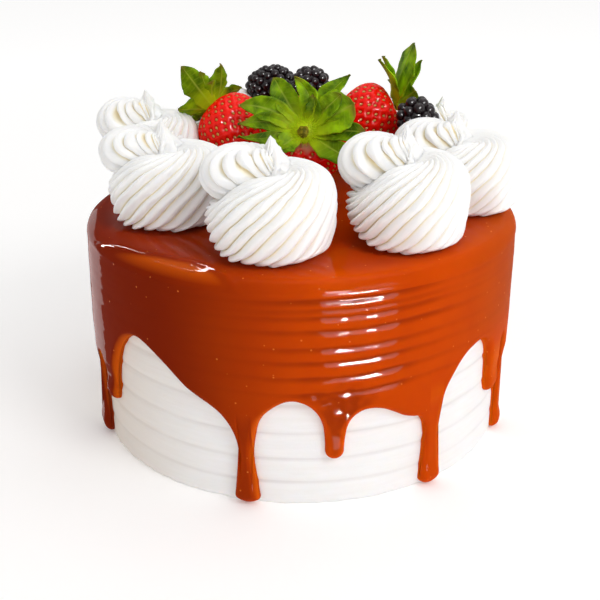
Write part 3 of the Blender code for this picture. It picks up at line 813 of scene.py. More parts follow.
def back_point(azimuth, edge, row):
    """A point of the hidden back of the caramel, from its edge up inside the icing to the axis."""
    if row == GLAZE_ROWS:
        return Vector((0.0, 0.0, BACK_HEIGHT)), 0.0
    if row == GLAZE_ROWS - 1:
        return on_side(azimuth, BACK_RADIUS, BACK_HEIGHT), 0.0
    x, _ = glaze_flat(azimuth, edge)
    inner = CAKE_RADIUS - EDGE_DEPTH + wobble(azimuth, edge * MM)
    return on_side(x / arc_length(1.0), inner, edge * MM), 1.0


def glaze_point(column, row):
    """A point of the caramel and its painted glow and shade: 1 at a thin edge facing the light, 0 where
    thick, below 0 in a wave or a shaded drip.
    """
    azimuth, edge = outline[column]
    if row == 0:
        return Vector((0.0, 0.0, GLAZE_TOP)), 0.0
    if row <= len(TOP_RADII):
        radius = TOP_RADII[row - 1] * MM
        return on_side(azimuth, radius, GLAZE_TOP + top_relief(azimuth, radius)), facet_glow(azimuth, radius)
    if row <= TOP_STEPS:
        return shoulder_point(azimuth, column, (row - len(TOP_RADII)) / SHOULDER_STEPS * pi / 2.0)
    if row <= TOP_STEPS + SIDE_STEPS:
        level = SHOULDER_BASE / MM * (1.0 - (row - TOP_STEPS) / SIDE_STEPS)
        return side_point(azimuth, column, max(level, edge + BEAD_STEPS[0]))
    if row <= TOP_STEPS + SIDE_STEPS + len(BEAD_STEPS):
        return side_point(azimuth, column, edge + BEAD_STEPS[row - TOP_STEPS - SIDE_STEPS - 1])
    return back_point(azimuth, edge, row)


bm = bmesh.new()
wrap_grid(bm, len(columns), GLAZE_ROWS, glaze_point, "thin_glow_and_shade")

# %% [markdown]
# ## Caramel
# Caramel is sugar cooked to brown, with cream and butter: a dense clear amber that has gone cloudy. Poured
# and set, it keeps the mirror of a liquid, most of all on the level top, where it could lie still. Thin edges
# let light through and glow orange, thick parts go a deep red-brown, and tiny bubbles are caught in it. The
# mirror is a clear coat, which fades from the top to the side, over a body that scatters the light.

# %% Caramel: its body, and where it pooled and shade is painted
# The colour carries painted light and shade: the glow of a thin edge is painted brightest where the edge
# faces the light on the right, and shade is painted on the left, on the top, down in the waves and on drips
# in shade.
caramel_paint = start_material("poured milk caramel", {
    "Roughness": 0.42,
    "IOR": 1.48,
    "Specular IOR Level": 0.0,
    "Subsurface Weight": 0.2,
    "Subsurface Radius": (1.0, 0.25, 0.05),
    "Subsurface Scale": 2.0 * MM,
    "Coat Roughness": 0.03,
    "Coat IOR": 1.48,
})
place_on = add_node(caramel_paint, "ShaderNodeTexCoord", {}, {})
sides = add_node(caramel_paint, "ShaderNodeSeparateXYZ", {}, {"Vector": place_on.outputs["Object"]})
clouds = add_node(caramel_paint, "ShaderNodeTexNoise", {}, {
    "Vector": place_on.outputs["Object"], "Scale": 34.0, "Detail": 4.0})
body = add_node(caramel_paint, "ShaderNodeMix", {"data_type": "RGBA"}, {
    MIX_FACTOR: clouds.outputs["Fac"], MIX_A: hex_colour("#b63600"), MIX_B: hex_colour("#d24e00")})
# It pooled thickest on the left, and shade is painted there too, away from the light
pooled_and_shaded = add_node(caramel_paint, "ShaderNodeMapRange", {"interpolation_type": "SMOOTHSTEP"}, {
    "Value": sides.outputs["X"], "From Min": 12.0 * MM, "From Max": -56.0 * MM,
    "To Min": 0.0, "To Max": 0.95})
# It is browner on the far right too, but only over the drips
thick_right = add_node(caramel_paint, "ShaderNodeMapRange", {"interpolation_type": "SMOOTHSTEP"}, {
    "Value": sides.outputs["X"], "From Min": 45.0 * MM, "From Max": 90.0 * MM,
    "To Min": 0.0, "To Max": 0.5})
above_drips = add_node(caramel_paint, "ShaderNodeMapRange", {}, {
    "Value": sides.outputs["Z"], "From Min": 48.0 * MM, "From Max": 62.0 * MM, "To Min": 0.0, "To Max": 1.0})
brown_right = add_node(caramel_paint, "ShaderNodeMath", {"operation": "MULTIPLY"}, {
    0: thick_right.outputs["Result"], 1: above_drips.outputs["Result"]})

# %% Caramel: the still top and its painted shade
plan = add_node(caramel_paint, "ShaderNodeCombineXYZ", {}, {
    "X": sides.outputs["X"], "Y": sides.outputs["Y"]})
from_axis = add_node(caramel_paint, "ShaderNodeVectorMath", {"operation": "LENGTH"}, {
    0: plan.outputs["Vector"]})
on_top = add_node(caramel_paint, "ShaderNodeMapRange", {"interpolation_type": "SMOOTHSTEP"}, {
    "Value": from_axis.outputs["Value"], "From Min": 83.0 * MM, "From Max": 72.0 * MM,
    "To Min": 0.0, "To Max": 1.0})
# Painted shade on the top, where the rosettes shadow it and the caramel lies thick
top_shade = add_node(caramel_paint, "ShaderNodeMath", {"operation": "MULTIPLY"}, {
    0: on_top.outputs["Result"], 1: 0.65})
still = add_node(caramel_paint, "ShaderNodeMapRange", {}, {
    "Value": on_top.outputs["Result"], "From Min": 0.0, "From Max": 1.0, "To Min": 0.1, "To Max": 0.34})

# %% Caramel: the painted shade in the waves and the painted glow on the thin edges
thin_glow_and_shade = add_node(caramel_paint, "ShaderNodeAttribute", {"attribute_name": "thin_glow_and_shade"}, {})
painted_shade_and_thick_core = add_node(caramel_paint, "ShaderNodeMapRange", {}, {
    "Value": thin_glow_and_shade.outputs["Fac"], "From Min": 0.0, "From Max": -0.5, "To Min": 0.0, "To Max": 0.5})
thin_edge_and_painted_glow = add_node(caramel_paint, "ShaderNodeMapRange", {}, {
    "Value": thin_glow_and_shade.outputs["Fac"], "From Min": 0.25, "From Max": 1.0, "To Min": 0.0, "To Max": 0.85})

# %% Caramel: bubbles and ripples
# One cell in four, each about 3 mm wide, holds a bubble of about 0.6 mm
bubbles = add_node(caramel_paint, "ShaderNodeTexVoronoi", {}, {
    "Vector": place_on.outputs["Object"], "Scale": 300.0})
bubble_edge = add_node(caramel_paint, "ShaderNodeMapRange", {}, {
    "Value": bubbles.outputs["Distance"], "From Min": 0.07, "From Max": 0.14, "To Min": 1.0, "To Max": 0.0})
chosen = add_node(caramel_paint, "ShaderNodeSeparateColor", {}, {"Color": bubbles.outputs["Color"]})
caught = add_node(caramel_paint, "ShaderNodeMath", {"operation": "GREATER_THAN"}, {
    0: chosen.outputs["Red"], 1: 0.72})
bubble = add_node(caramel_paint, "ShaderNodeMath", {"operation": "MULTIPLY"}, {
    0: bubble_edge.outputs["Result"], 1: caught.outputs["Value"]})
faint = add_node(caramel_paint, "ShaderNodeMath", {"operation": "MULTIPLY"}, {
    0: bubble.outputs["Value"], 1: 0.55})
ripple = add_node(caramel_paint, "ShaderNodeTexNoise", {}, {
    "Vector": place_on.outputs["Object"], "Scale": 170.0, "Detail": 2.0})
ripple_bump = add_node(caramel_paint, "ShaderNodeBump", {}, {
    "Strength": 0.12, "Distance": 0.3 * MM, "Height": ripple.outputs["Fac"]})
bubble_bump = add_node(caramel_paint, "ShaderNodeBump", {}, {
    "Strength": 0.4, "Distance": 0.15 * MM, "Height": bubble.outputs["Value"],
    "Normal": ripple_bump.outputs["Normal"]})

# %% Caramel: lay the colours over each other
# Each colour covers the last where its mask is 1: darker on the left, where it pooled and shade is painted,
# browner over the drips on the right, redder and in painted shade on the top, in painted shade down in a
# wave, on a drip in shade and in a drip's thick core, glowing along a thin edge with painted light where it
# faces the light, and pale in a bubble
colour = body.outputs[MIX_RESULT]
for mask, code in (
        (pooled_and_shaded.outputs["Result"], "#741a00"),
        (brown_right.outputs["Value"], "#90400c"),
        (top_shade.outputs["Value"], "#982a04"),
        (painted_shade_and_thick_core.outputs["Result"], "#701a02"),
        (thin_edge_and_painted_glow.outputs["Result"], "#dc6004"),
        (faint.outputs["Value"], "#e88038")):
    covered = add_node(caramel_paint, "ShaderNodeMix", {"data_type": "RGBA"}, {
        MIX_FACTOR: mask, MIX_A: colour, MIX_B: hex_colour(code)})
    colour = covered.outputs[MIX_RESULT]
feed_shader(caramel_paint, {
    "Base Color": colour,
    "Coat Weight": still.outputs["Result"],
    "Normal": bubble_bump.outputs["Normal"],
    "Coat Normal": bubble_bump.outputs["Normal"],
})
mirrors.objects.link(add_piece("poured_caramel", bm, [caramel_paint], "caramel", "caramel_glaze"))

# %% [markdown]
# ## The piped rosettes
# Each rosette was piped in one go through a large star nozzle: a thick rope of cream laid in a ring, then
# a second, smaller turn on top of it, which leans to the left and is pulled off into a peak. The teeth of the
# nozzle leave ridges that climb from a scalloped foot, pass over the shoulder and wind into the swirl. So a
# rosette is made of three shells that melt into each other: the ring, the top turn and the pulled peak. The
# columns of each grid run along the ridges, which keeps every groove sharp.

# %% The sizes of the rosettes
FIT_GAP = 0.3 * MM
Rosette = namedtuple("Rosette", "x y radius height drift_x drift_y turn seed")
# Place, radius, height and drift of the peak in x and y (mm), turn of the swirl (degrees), seed
ROSETTES = {
    "front": Rosette(-12.5, -53.5, 25.8, 41.5, 1.5, 2.0, 0.0, 1),
    "front_right": Rosette(38.5, -43.0, 24.5, 42.0, 0.0, 6.0, 6.0, 2),
    "right": Rosette(66.8, -1.5, 24.6, 38.0, -4.0, 3.0, 12.0, 3),
    "back_right": Rosette(60.5, 44.0, 19.5, 36.0, 2.0, -5.0, 30.0, 4),
    "back": Rosette(9.0, 68.0, 19.8, 41.0, 2.0, -1.0, 20.0, 5),
    "back_left": Rosette(-37.5, 66.5, 20.5, 38.0, 0.0, 0.0, 150.0, 6),
    "left": Rosette(-66.0, 31.0, 22.3, 41.0, -1.2, 3.0, 10.0, 7),
    "front_left": Rosette(-53.5, -16.0, 25.5, 39.0, -2.0, 0.0, -12.0, 8),
}
# The ring from its foot to its swirl centre: share of the radius and of the height
RING_LINE = [
    (0.76, 0.0), (0.885, 0.045), (0.935, 0.12), (0.965, 0.24), (0.985, 0.36), (0.985, 0.46), (0.95, 0.57),
    (0.87, 0.665), (0.74, 0.73), (0.58, 0.765), (0.42, 0.765), (0.27, 0.725), (0.13, 0.67), (0.0, 0.64),
]
# The top turn: azimuth round the rosette, radius of its path, height of its middle, half width, half height,
# all as shares of the rosette's radius, apart from the heights as shares of its height
TOP_TURN = [
    (120.0, 0.40, 0.36, 0.40, 0.26), (180.0, 0.46, 0.54, 0.45, 0.28), (235.0, 0.49, 0.63, 0.50, 0.27),
    (270.0, 0.50, 0.655, 0.51, 0.26), (292.0, 0.44, 0.68, 0.46, 0.235), (310.0, 0.34, 0.715, 0.36, 0.205),
    (328.0, 0.23, 0.745, 0.25, 0.17), (350.0, 0.14, 0.755, 0.15, 0.12), (376.0, 0.09, 0.745, 0.08, 0.08),
    (410.0, 0.06, 0.71, 0.01, 0.02),
]
# The pulled peak: share of the radius and of the height from inside the swirl up to the tip
PEAK_LINE = [
    (0.0, 0.42), (0.32, 0.48), (0.36, 0.58), (0.33, 0.67), (0.25, 0.745), (0.175, 0.81), (0.115, 0.875),
    (0.062, 0.94), (0.0, 1.0),
]


# %% Keep pressed rosettes apart
# How far before the midway plane a point is first held back, and by what share of the way
PRESS_FROM = 1.5 * MM
PRESS_SHARE = 0.8


def hold_back(point, rosette, neighbours):
    """Moves a point back from the plane midway to each neighbour, so that pressed rosettes only touch."""
    for other in neighbours:
        between = Vector((other.x - rosette.x, other.y - rosette.y, 0.0)) * MM
        direction = between.normalized()
        limit = between.length * rosette.radius / (rosette.radius + other.radius) - FIT_GAP / 2.0
        beyond = point.dot(direction) - limit
        if beyond > -PRESS_FROM:
            point = point - direction * (beyond + PRESS_FROM) * PRESS_SHARE
    return point


# %% Ridges of the star nozzle
RIDGE_ROUNDING = 0.7


def crest_at(phase):
    """How far up a ridge a point lies: 0 in the groove at each whole phase, and 1 on the ridge between."""
    return abs(sin(pi * phase)) ** RIDGE_ROUNDING


def strayed_starts(count, stray, draw):
    """Where each ridge starts, counted in ridges: nearly even, with the first again at the end."""
    starts = [ridge + draw.uniform(-stray, stray) for ridge in range(count)]
    return starts + [starts[0] + count]


def start_at(starts, phase):
    """Where a point starts, counted in ridges, for a phase that grows evenly from ridge to ridge."""
    ridge = int(phase)
    return starts[ridge] + (phase - ridge) * (starts[ridge + 1] - starts[ridge])


def grain_at(along, across, seed):
    """Smooth noise from -1 to 1 on the lines of a piece, with a seed that sets its uses apart."""
    return noise.noise(Vector((along, across, seed)))


# %% The ring of a rosette
RIDGES = 22
RIDGE_COLUMNS = 12
RING_ROWS = 54
# Degrees that a ridge winds, evenly and then ever faster over its last half
RING_SWIRL = 145.0
HOOK_SWIRL = 330.0
# Most depth of a groove, or a share of the ridges' spacing, and how much of it shows where the rope lies flat
GROOVE = 2.9 * MM
GROOVE_SHARE = 0.46
GROOVE_FLAT = 0.85
# The foot: how soon it ends up the ridge, how much deeper its grooves are, and how far its toes reach (mm)
FOOT_FADE = 9.0
FOOT_DEEPER = 0.5
TOES = (-0.7, 1.4)
# How far a ridge strays, as a share of the spacing, the drag marks along it, and the soft lumps of the rope
RIDGE_STRAY = 0.12
DRAG_MARKS = 0.18 * MM
ROPE_LUMPS = 0.7 * MM
LUMP_COUNT = 2.5
# Where the top turn laps over the ring: its azimuth, how much lower the ring is there and how much of that is
# sharp, how near its centre it fades, how much narrower the ring is and how far its foot is lifted
LAP_AZIMUTH = -92.0
LAP_DROP = 0.38
LAP_SHARP = 0.75
LAP_FADE = 0.4
LAP_NARROW = 0.10
LAP_LIFT = 5.0 * MM
LIFT_HEIGHT = 0.7
# Where the swirl's centre lies off the peak (mm)
SWIRL_X = 1.0
SWIRL_Y = -6.0
SLOPE_STEP = 0.02


def ring_slopes(rosette, shares):
    """The way the ring's outline runs at each share, outwards and up, with a length of 1."""
    slopes = []
    for share in shares:
        ahead = smooth_line(RING_LINE, min(1.0, share + SLOPE_STEP))
        behind = smooth_line(RING_LINE, max(0.0, share - SLOPE_STEP))
        run = Vector(((ahead[0] - behind[0]) * rosette.radius, (ahead[1] - behind[1]) * rosette.height))
        slopes.append(run.normalized())
    return slopes


def pipe_ring(bm, rosette, draw):
    """Adds the ring: ridges from the scalloped foot over the shoulder into the swirl's centre."""
    starts = strayed_starts(RIDGES, RIDGE_STRAY, draw)
    toes = [draw.uniform(*TOES) for ridge in range(RIDGES)]
    shares = [max(0.0, (row - 1) / (RING_ROWS - 1)) for row in range(RING_ROWS + 1)]
    line = [smooth_line(RING_LINE, share) for share in shares]
    slopes = ring_slopes(rosette, shares)

    def ring_point(column, row):
        """A point of the ring, and how deep in a groove it lies."""
        if row == 0:
            return Vector((0.0, 0.0, 0.0)), 0.0
        share = shares[row]
        reach, rise = line[row]
        along = slopes[row]
        phase = column / RIDGE_COLUMNS
        crest = crest_at(phase)
        late = max(0.0, share - 0.5)
        azimuth = 360.0 * start_at(starts, phase) / RIDGES + RING_SWIRL * share + HOOK_SWIRL * late ** 2
        around = radians(azimuth)
        lap = (1.0 + cos(radians(azimuth - LAP_AZIMUTH))) / 2.0
        lowered = LAP_DROP * (LAP_SHARP * lap ** 6 + (1.0 - LAP_SHARP) * lap)
        sunk = 1.0 - lowered * ramp(share, 1.0, -LAP_FADE)
        foot = exp(-share * FOOT_FADE)
        spacing = 2.0 * pi * reach * rosette.radius * MM / RIDGES
        depth = min(GROOVE, GROOVE_SHARE * spacing) * (1.0 - crest) * (1.0 + FOOT_DEEPER * foot)
        out = reach * rosette.radius * (1.0 - LAP_NARROW * lap ** 6) + toes[int(phase)] * foot * crest
        out = out * MM - depth * max(along.y, foot)
        out += DRAG_MARKS * grain_at(phase * 2.0, share * 16.0, rosette.seed * 5.0)
        lump = Vector((sin(around), cos(around), share * 2.0)) * LUMP_COUNT
        out += ROPE_LUMPS * noise.noise(lump + Vector((rosette.seed * 3.0, 0.0, 0.0)))
        up = rise * sunk * rosette.height * MM + along.x * depth * GROOVE_FLAT * (1.0 - foot)
        up += LAP_LIFT * lap ** 10 * max(0.0, 1.0 - rise / LIFT_HEIGHT)
        point = on_side(azimuth + rosette.turn, max(0.0, out), max(0.0, up))
        point += Vector((rosette.drift_x + SWIRL_X, rosette.drift_y + SWIRL_Y, 0.0)) * MM * 2.0 * late
        return point, (1.0 - crest) * (1.0 - 0.4 * share)

    wrap_grid(bm, RIDGES * RIDGE_COLUMNS, RING_ROWS, ring_point, "groove")


# %% The top turn of a rosette
TOP_LOBES = 7
LOBE_COLUMNS = 14
TOP_ROWS = 100
# Degrees that a fold twists for each degree along the turn, and how far it wanders off that (degrees)
TOP_TWIST = -3.6
WANDER = 20.0
# Depth between two folds and how uneven that is, and the half width (a share) below which it gets shallower
TOP_GROOVE = 3.6 * MM
UNEVEN = 0.5
SLENDER = 0.4
# How far a fold strays, as a share of the spacing, its drag marks, and the torn end near the peak
LOBE_STRAY = 0.2
FOLD_MARKS = 0.5 * MM
TORN_FROM = 0.45
TORN = 1.6 * MM


def pipe_top(bm, rosette, draw):
    """Adds the top turn: fat folds that run out from the peak and end round on the left."""
    starts = strayed_starts(TOP_LOBES, LOBE_STRAY, draw)
    shares = [min(1.0, max(0.0, (row - 1) / (TOP_ROWS - 2))) for row in range(TOP_ROWS + 1)]
    line = [smooth_line(TOP_TURN, share) for share in shares]
    seed = rosette.seed

    def fold_point(column, row):
        """A point of the top turn, and how deep between two folds it lies."""
        share = shares[row]
        azimuth, reach, rise, half_width, half_height = line[row]
        closed = 0.0 if row in (0, TOP_ROWS) else 1.0
        phase = column / LOBE_COLUMNS
        lobe = int(phase)
        crest = crest_at(phase)
        wander = WANDER * grain_at(share * 7.0, lobe * 1.7, seed * 6.0)
        twist = TOP_TWIST * (azimuth - TOP_TURN[0][0])
        angle = radians(360.0 * start_at(starts, phase) / TOP_LOBES + twist + wander * closed)
        depth = TOP_GROOVE * (1.0 + UNEVEN * grain_at(share * 6.0, lobe * 2.3, seed * 4.0))
        depth *= (1.0 - crest) * min(1.0, half_width / SLENDER)
        out = reach * rosette.radius * MM
        out += cos(angle) * (half_width * rosette.radius * MM - depth) * closed
        out += FOLD_MARKS * grain_at(share * 9.0, column * 0.2, seed * 3.0)
        up = rise * rosette.height * MM
        up += sin(angle) * (half_height * rosette.height * MM - depth) * closed
        up += TORN * max(0.0, share - TORN_FROM) * grain_at(share * 30.0, column * 0.5, seed * 2.0)
        point = on_side(azimuth + rosette.turn, out, up)
        return point + Vector((rosette.drift_x, rosette.drift_y, 0.0)) * MM, 1.0 - crest

    wrap_grid(bm, TOP_LOBES * LOBE_COLUMNS, TOP_ROWS, fold_point, "groove")


# %% The pulled peak of a rosette
WRINKLES = 7
WRINKLE_COLUMNS = 9
PEAK_ROWS = 44
PEAK_TWIST = 110.0
# The peak's radius as a share of its outline's: all round, on a wrinkle, and in coarse and fine noise
PEAK_BODY = 0.64
PEAK_WRINKLE = 0.36
PEAK_ROUGH = 0.3
PEAK_FINE = 0.1
# It is fuller towards one side, and bends over from this share of its height, ever more
FULL_AZIMUTH = 160.0
FULLER = 0.45
BEND_FROM = 0.6
BEND = 6.0


def pull_peak(bm, rosette, draw):
    """Adds the peak: a wrinkled cone that was pulled up and torn off as the nozzle lifted."""
    count = WRINKLES * WRINKLE_COLUMNS
    lean_x = draw.uniform(-1.0, 1.0)
    lean_y = draw.uniform(-1.0, 1.0)
    line = [smooth_line(PEAK_LINE, row / PEAK_ROWS) for row in range(PEAK_ROWS + 1)]
    seed = rosette.seed

    def peak_point(column, row):
        """A point of the peak, and how deep between two wrinkles it lies."""
        share = row / PEAK_ROWS
        reach, rise = line[row]
        crest = crest_at(column / WRINKLE_COLUMNS)
        azimuth = 360.0 * column / count + PEAK_TWIST * share + rosette.turn
        across, ahead = sin(radians(azimuth)), cos(radians(azimuth))
        rough = noise.noise(Vector((2.2 * across, 2.2 * ahead, share * 11.0 + seed * 7.0)))
        fine = noise.noise(Vector((6.0 * across, 6.0 * ahead, share * 24.0 + seed * 3.0)))
        full = 1.0 + FULLER * cos(radians(azimuth - rosette.turn - FULL_AZIMUTH))
        shape = PEAK_BODY + PEAK_WRINKLE * crest + PEAK_ROUGH * rough + PEAK_FINE * fine
        out = max(0.0, reach) * full * rosette.radius * MM * shape
        point = on_side(azimuth, out, rise * rosette.height * MM)
        bend = max(0.0, share - BEND_FROM) ** 2 * BEND
        point += Vector((rosette.drift_x + lean_x * bend, rosette.drift_y + lean_y * bend, 0.0)) * MM
        return point, 0.5 * (1.0 - crest) * (1.0 - share)

    wrap_grid(bm, count, PEAK_ROWS, peak_point, "groove")


# %% [markdown]
# ## Whipped cream
# Whipped cream is a foam: light enters it, scatters between the bubbles and comes out again some way off,
# which fills its shadows. Blue light travels less far in it than red and yellow, so the narrow
# grooves glow a warm yellow while the ridges stay white; that glow and the shade down in the grooves are
# painted into the colour as a warm yellow. Its surface is satin, with fine drag marks across the ridges.

# %% Whipped cream
cream_paint = start_material("piped whipped cream", {
    "Roughness": 0.42,
    "IOR": 1.36,
    "Subsurface Weight": 0.65,
    "Subsurface Radius": (1.0, 0.95, 0.85),
    "Subsurface Scale": 1.4 * MM,
    "Sheen Weight": 0.05,
})
place_on = add_node(cream_paint, "ShaderNodeTexCoord", {}, {})
groove = add_node(cream_paint, "ShaderNodeAttribute", {"attribute_name": "groove"}, {})
# Painted shade: the grooves are painted a warm yellow, for the shade in them and the light the foam scatters
# there
deep = add_node(cream_paint, "ShaderNodeMapRange", {"interpolation_type": "SMOOTHSTEP"}, {
    "Value": groove.outputs["Fac"], "From Min": 0.35, "From Max": 1.0, "To Min": 0.0, "To Max": 0.85})
groove_shaded = add_node(cream_paint, "ShaderNodeMix", {"data_type": "RGBA"}, {
    MIX_FACTOR: deep.outputs["Result"], MIX_A: hex_colour("#fdfcfa"), MIX_B: hex_colour("#f4dfa6")})
drag = add_node(cream_paint, "ShaderNodeTexNoise", {}, {
    "Vector": place_on.outputs["Object"], "Scale": 520.0, "Detail": 3.0})
drag_bump = add_node(cream_paint, "ShaderNodeBump", {}, {
    "Strength": 0.22, "Distance": 0.25 * MM, "Height": drag.outputs["Fac"]})
feed_shader(cream_paint, {"Base Color": groove_shaded.outputs[MIX_RESULT], "Normal": drag_bump.outputs["Normal"]})

# %% Pipe all eight
# How deep a rosette sits in the caramel under it
SETTLED = 0.2 * MM

for name, rosette in ROSETTES.items():
    draw = random.Random(rosette.seed)
    bm = bmesh.new()
    pipe_ring(bm, rosette, draw)
    pipe_top(bm, rosette, draw)
    pull_peak(bm, rosette, draw)
    neighbours = [other for other in ROSETTES.values() if other != rosette]
    seat = Vector((rosette.x * MM, rosette.y * MM, GLAZE_TOP - SETTLED))
    for vertex in bm.verts:
        vertex.co = hold_back(vertex.co, rosette, neighbours) + seat
    add_piece("cream_" + name, bm, [cream_paint], "cream", "rosette_" + name)

# %% [markdown]
# ## The strawberries
# A strawberry is a swollen stalk end that carries its seeds, which botanists call achenes, outside, each in
# its own small pit. The body is one wrapped grid with broad shoulders. The seeds lie in rows that wind
# round it as on a pine cone, so they are laid out by the golden angle, and the skin dips
# around each of them. The seed itself is a small drop of a few faces, because it repeats hundreds of times.

# %% The sizes of the strawberries
# Middle (mm, heights over the glaze), heading and tilt of the leafy end, radius, length
STRAWBERRIES = {
    "centre": (5.3, 22.5, 21.0, -15.0, 27.0, 18.0, 34.0),
    "left": (-28.0, 31.0, 22.0, -125.0, 34.0, 15.0, 34.0),
    "right": (28.5, 42.0, 25.0, 97.0, 24.0, 14.3, 32.0),
}
BERRY_COLUMNS = 150
BERRY_ROWS = 80
# How much fuller the leafy half is than the tip half, and the lumps round it as a share of the radius
SHOULDERS = 0.24
LUMPS = 0.02
# The dimple under the crown: depth (mm) and how far it reaches down the side (radians from the end)
DIMPLE = 2.4
DIMPLE_REACH = 0.42
GOLDEN_ANGLE = 137.508


def pose(x, y, z, heading, tilt):
    """Places a piece whose +Z points out at a heading and a tilt, with its +Y uppermost."""
    out = on_side(heading, cos(radians(tilt)), sin(radians(tilt)))
    up = (Vector((0.0, 0.0, 1.0)) - out * out.z).normalized()
    across = up.cross(out)
    turn = Matrix((across, up, out)).transposed().to_4x4()
    return Matrix.Translation((x * MM, y * MM, GLAZE_TOP + z * MM)) @ turn


def berry_skin(polar, angle, radius, length):
    """A point of a strawberry's smooth skin, in mm, from the leafy end (polar 0) to the tip (pi)."""
    reach = radius * sin(polar) * (1.0 + SHOULDERS * cos(polar))
    reach *= 1.0 + LUMPS * sin(3.0 * angle + 2.0 * polar)
    along = length / 2 * cos(polar) - DIMPLE * bump(polar, DIMPLE_REACH)
    return Vector((reach * sin(angle), reach * cos(angle), along))


print("strawberries:", {name: numbers[-1] for name, numbers in STRAWBERRIES.items()}, "mm long")


# %% Strawberry skin and seeds
skin_paint = start_material("ripe strawberry skin", {
    "Roughness": 0.3,
    "IOR": 1.4,
    "Specular IOR Level": 0.0,
    "Subsurface Weight": 0.35,
    "Subsurface Radius": (1.0, 0.15, 0.08),
    "Subsurface Scale": 1.6 * MM,
    "Coat Weight": 0.42,
    "Coat Roughness": 0.1,
})
place_on = add_node(skin_paint, "ShaderNodeTexCoord", {}, {})
ripe = add_node(skin_paint, "ShaderNodeAttribute", {"attribute_name": "ripe"}, {})
patches = add_node(skin_paint, "ShaderNodeTexNoise", {}, {
    "Vector": place_on.outputs["Object"], "Scale": 110.0, "Detail": 3.0})
reds = add_node(skin_paint, "ShaderNodeMix", {"data_type": "RGBA"}, {
    MIX_FACTOR: patches.outputs["Fac"], MIX_A: hex_colour("#ff0406"), MIX_B: hex_colour("#ff2410")})
ripened = add_node(skin_paint, "ShaderNodeMapRange", {}, {
    "Value": ripe.outputs["Fac"], "From Min": 0.0, "From Max": 1.0, "To Min": 0.0, "To Max": 1.0})
# Painted shade: the skin is painted a darker red down in each seed's pit
pit_shade = add_node(skin_paint, "ShaderNodeMapRange", {}, {
    "Value": ripe.outputs["Fac"], "From Min": 1.3, "From Max": 1.9, "To Min": 0.0, "To Max": 0.9})
pit_shaded = add_node(skin_paint, "ShaderNodeMix", {"data_type": "RGBA"}, {
    MIX_FACTOR: pit_shade.outputs["Result"], MIX_A: reds.outputs[MIX_RESULT], MIX_B: hex_colour("#9c0408")})
flesh = add_node(skin_paint, "ShaderNodeMix", {"data_type": "RGBA"}, {
    MIX_FACTOR: ripened.outputs["Result"], MIX_A: hex_colour("#f0a985"), MIX_B: pit_shaded.outputs[MIX_RESULT]})
pores = add_node(skin_paint, "ShaderNodeTexNoise", {}, {
    "Vector": place_on.outputs["Object"], "Scale": 700.0, "Detail": 2.0})
pore_bump = add_node(skin_paint, "ShaderNodeBump", {}, {
    "Strength": 0.2, "Distance": 0.2 * MM, "Height": pores.outputs["Fac"]})
feed_shader(skin_paint, {"Base Color": flesh.outputs[MIX_RESULT], "Normal": pore_bump.outputs["Normal"]})

seed_paint = start_material("strawberry achene", {"Roughness": 0.35, "Coat Weight": 0.4})
place_on = add_node(seed_paint, "ShaderNodeTexCoord", {}, {})
hulls = add_node(seed_paint, "ShaderNodeTexNoise", {}, {
    "Vector": place_on.outputs["Object"], "Scale": 240.0, "Detail": 1.0})
straw = add_node(seed_paint, "ShaderNodeMix", {"data_type": "RGBA"}, {
    MIX_FACTOR: hulls.outputs["Fac"], MIX_A: hex_colour("#b07414"), MIX_B: hex_colour("#e0b03c")})
feed_shader(seed_paint, {"Base Color": straw.outputs[MIX_RESULT]})


# %% Lay out the seeds
# Between two seeds (mm), how wide and deep the pit of each is (mm), and how far a seed strays (radians)
SEED_SPACING = 3.7
PIT_WIDTH = 1.2
PIT_DEPTH = 1.15
SEED_STRAY = 0.06
STRAY_ALONG = 0.35
# Where the seeds start below the crown and end before the tip (radians), and how tightly the rows pack
SEEDS_FROM = 0.42
SEEDS_END = 0.12
PACKING = 0.9


def seed_places(radius, length):
    """Where the seeds sit, in mm, wound round the berry by the golden angle at a nearly even spacing."""
    places = []
    draw = random.Random(int(length))
    polar = SEEDS_FROM
    angle = 0.0
    while polar < pi - SEEDS_END:
        strayed = polar + SEED_STRAY * STRAY_ALONG * draw.uniform(-1.0, 1.0)
        spot = berry_skin(strayed, angle + SEED_STRAY * draw.uniform(-1.0, 1.0), radius, length)
        places.append((spot, (spot - Vector((0.0, 0.0, -0.1 * length))).normalized()))
        even = berry_skin(polar, angle, radius, length)
        girth = 2.0 * pi * max(1.0, even.xy.length)
        slope = (berry_skin(polar + 0.01, angle, radius, length) - even).length / 0.01
        polar += PACKING * SEED_SPACING ** 2 / girth / slope
        angle += radians(GOLDEN_ANGLE)
    return places


# %% Model the strawberries
# Half sizes of a seed, and how deep it lies in its pit, as a share of the pit
SEED_SIZE = (0.52 * MM, 0.86 * MM, 0.40 * MM, 1.0)
SEED_SUNK = 0.62
# The pale skin by the leaves: where it ends and over how far it turns red (radians)
PALE_END = 0.3
PALE_FADE = 0.22
# Soft swellings of the skin, as a share of the berry, and how many to a millimetre
SWELLING = 0.012
SWELL_COUNT = 0.16

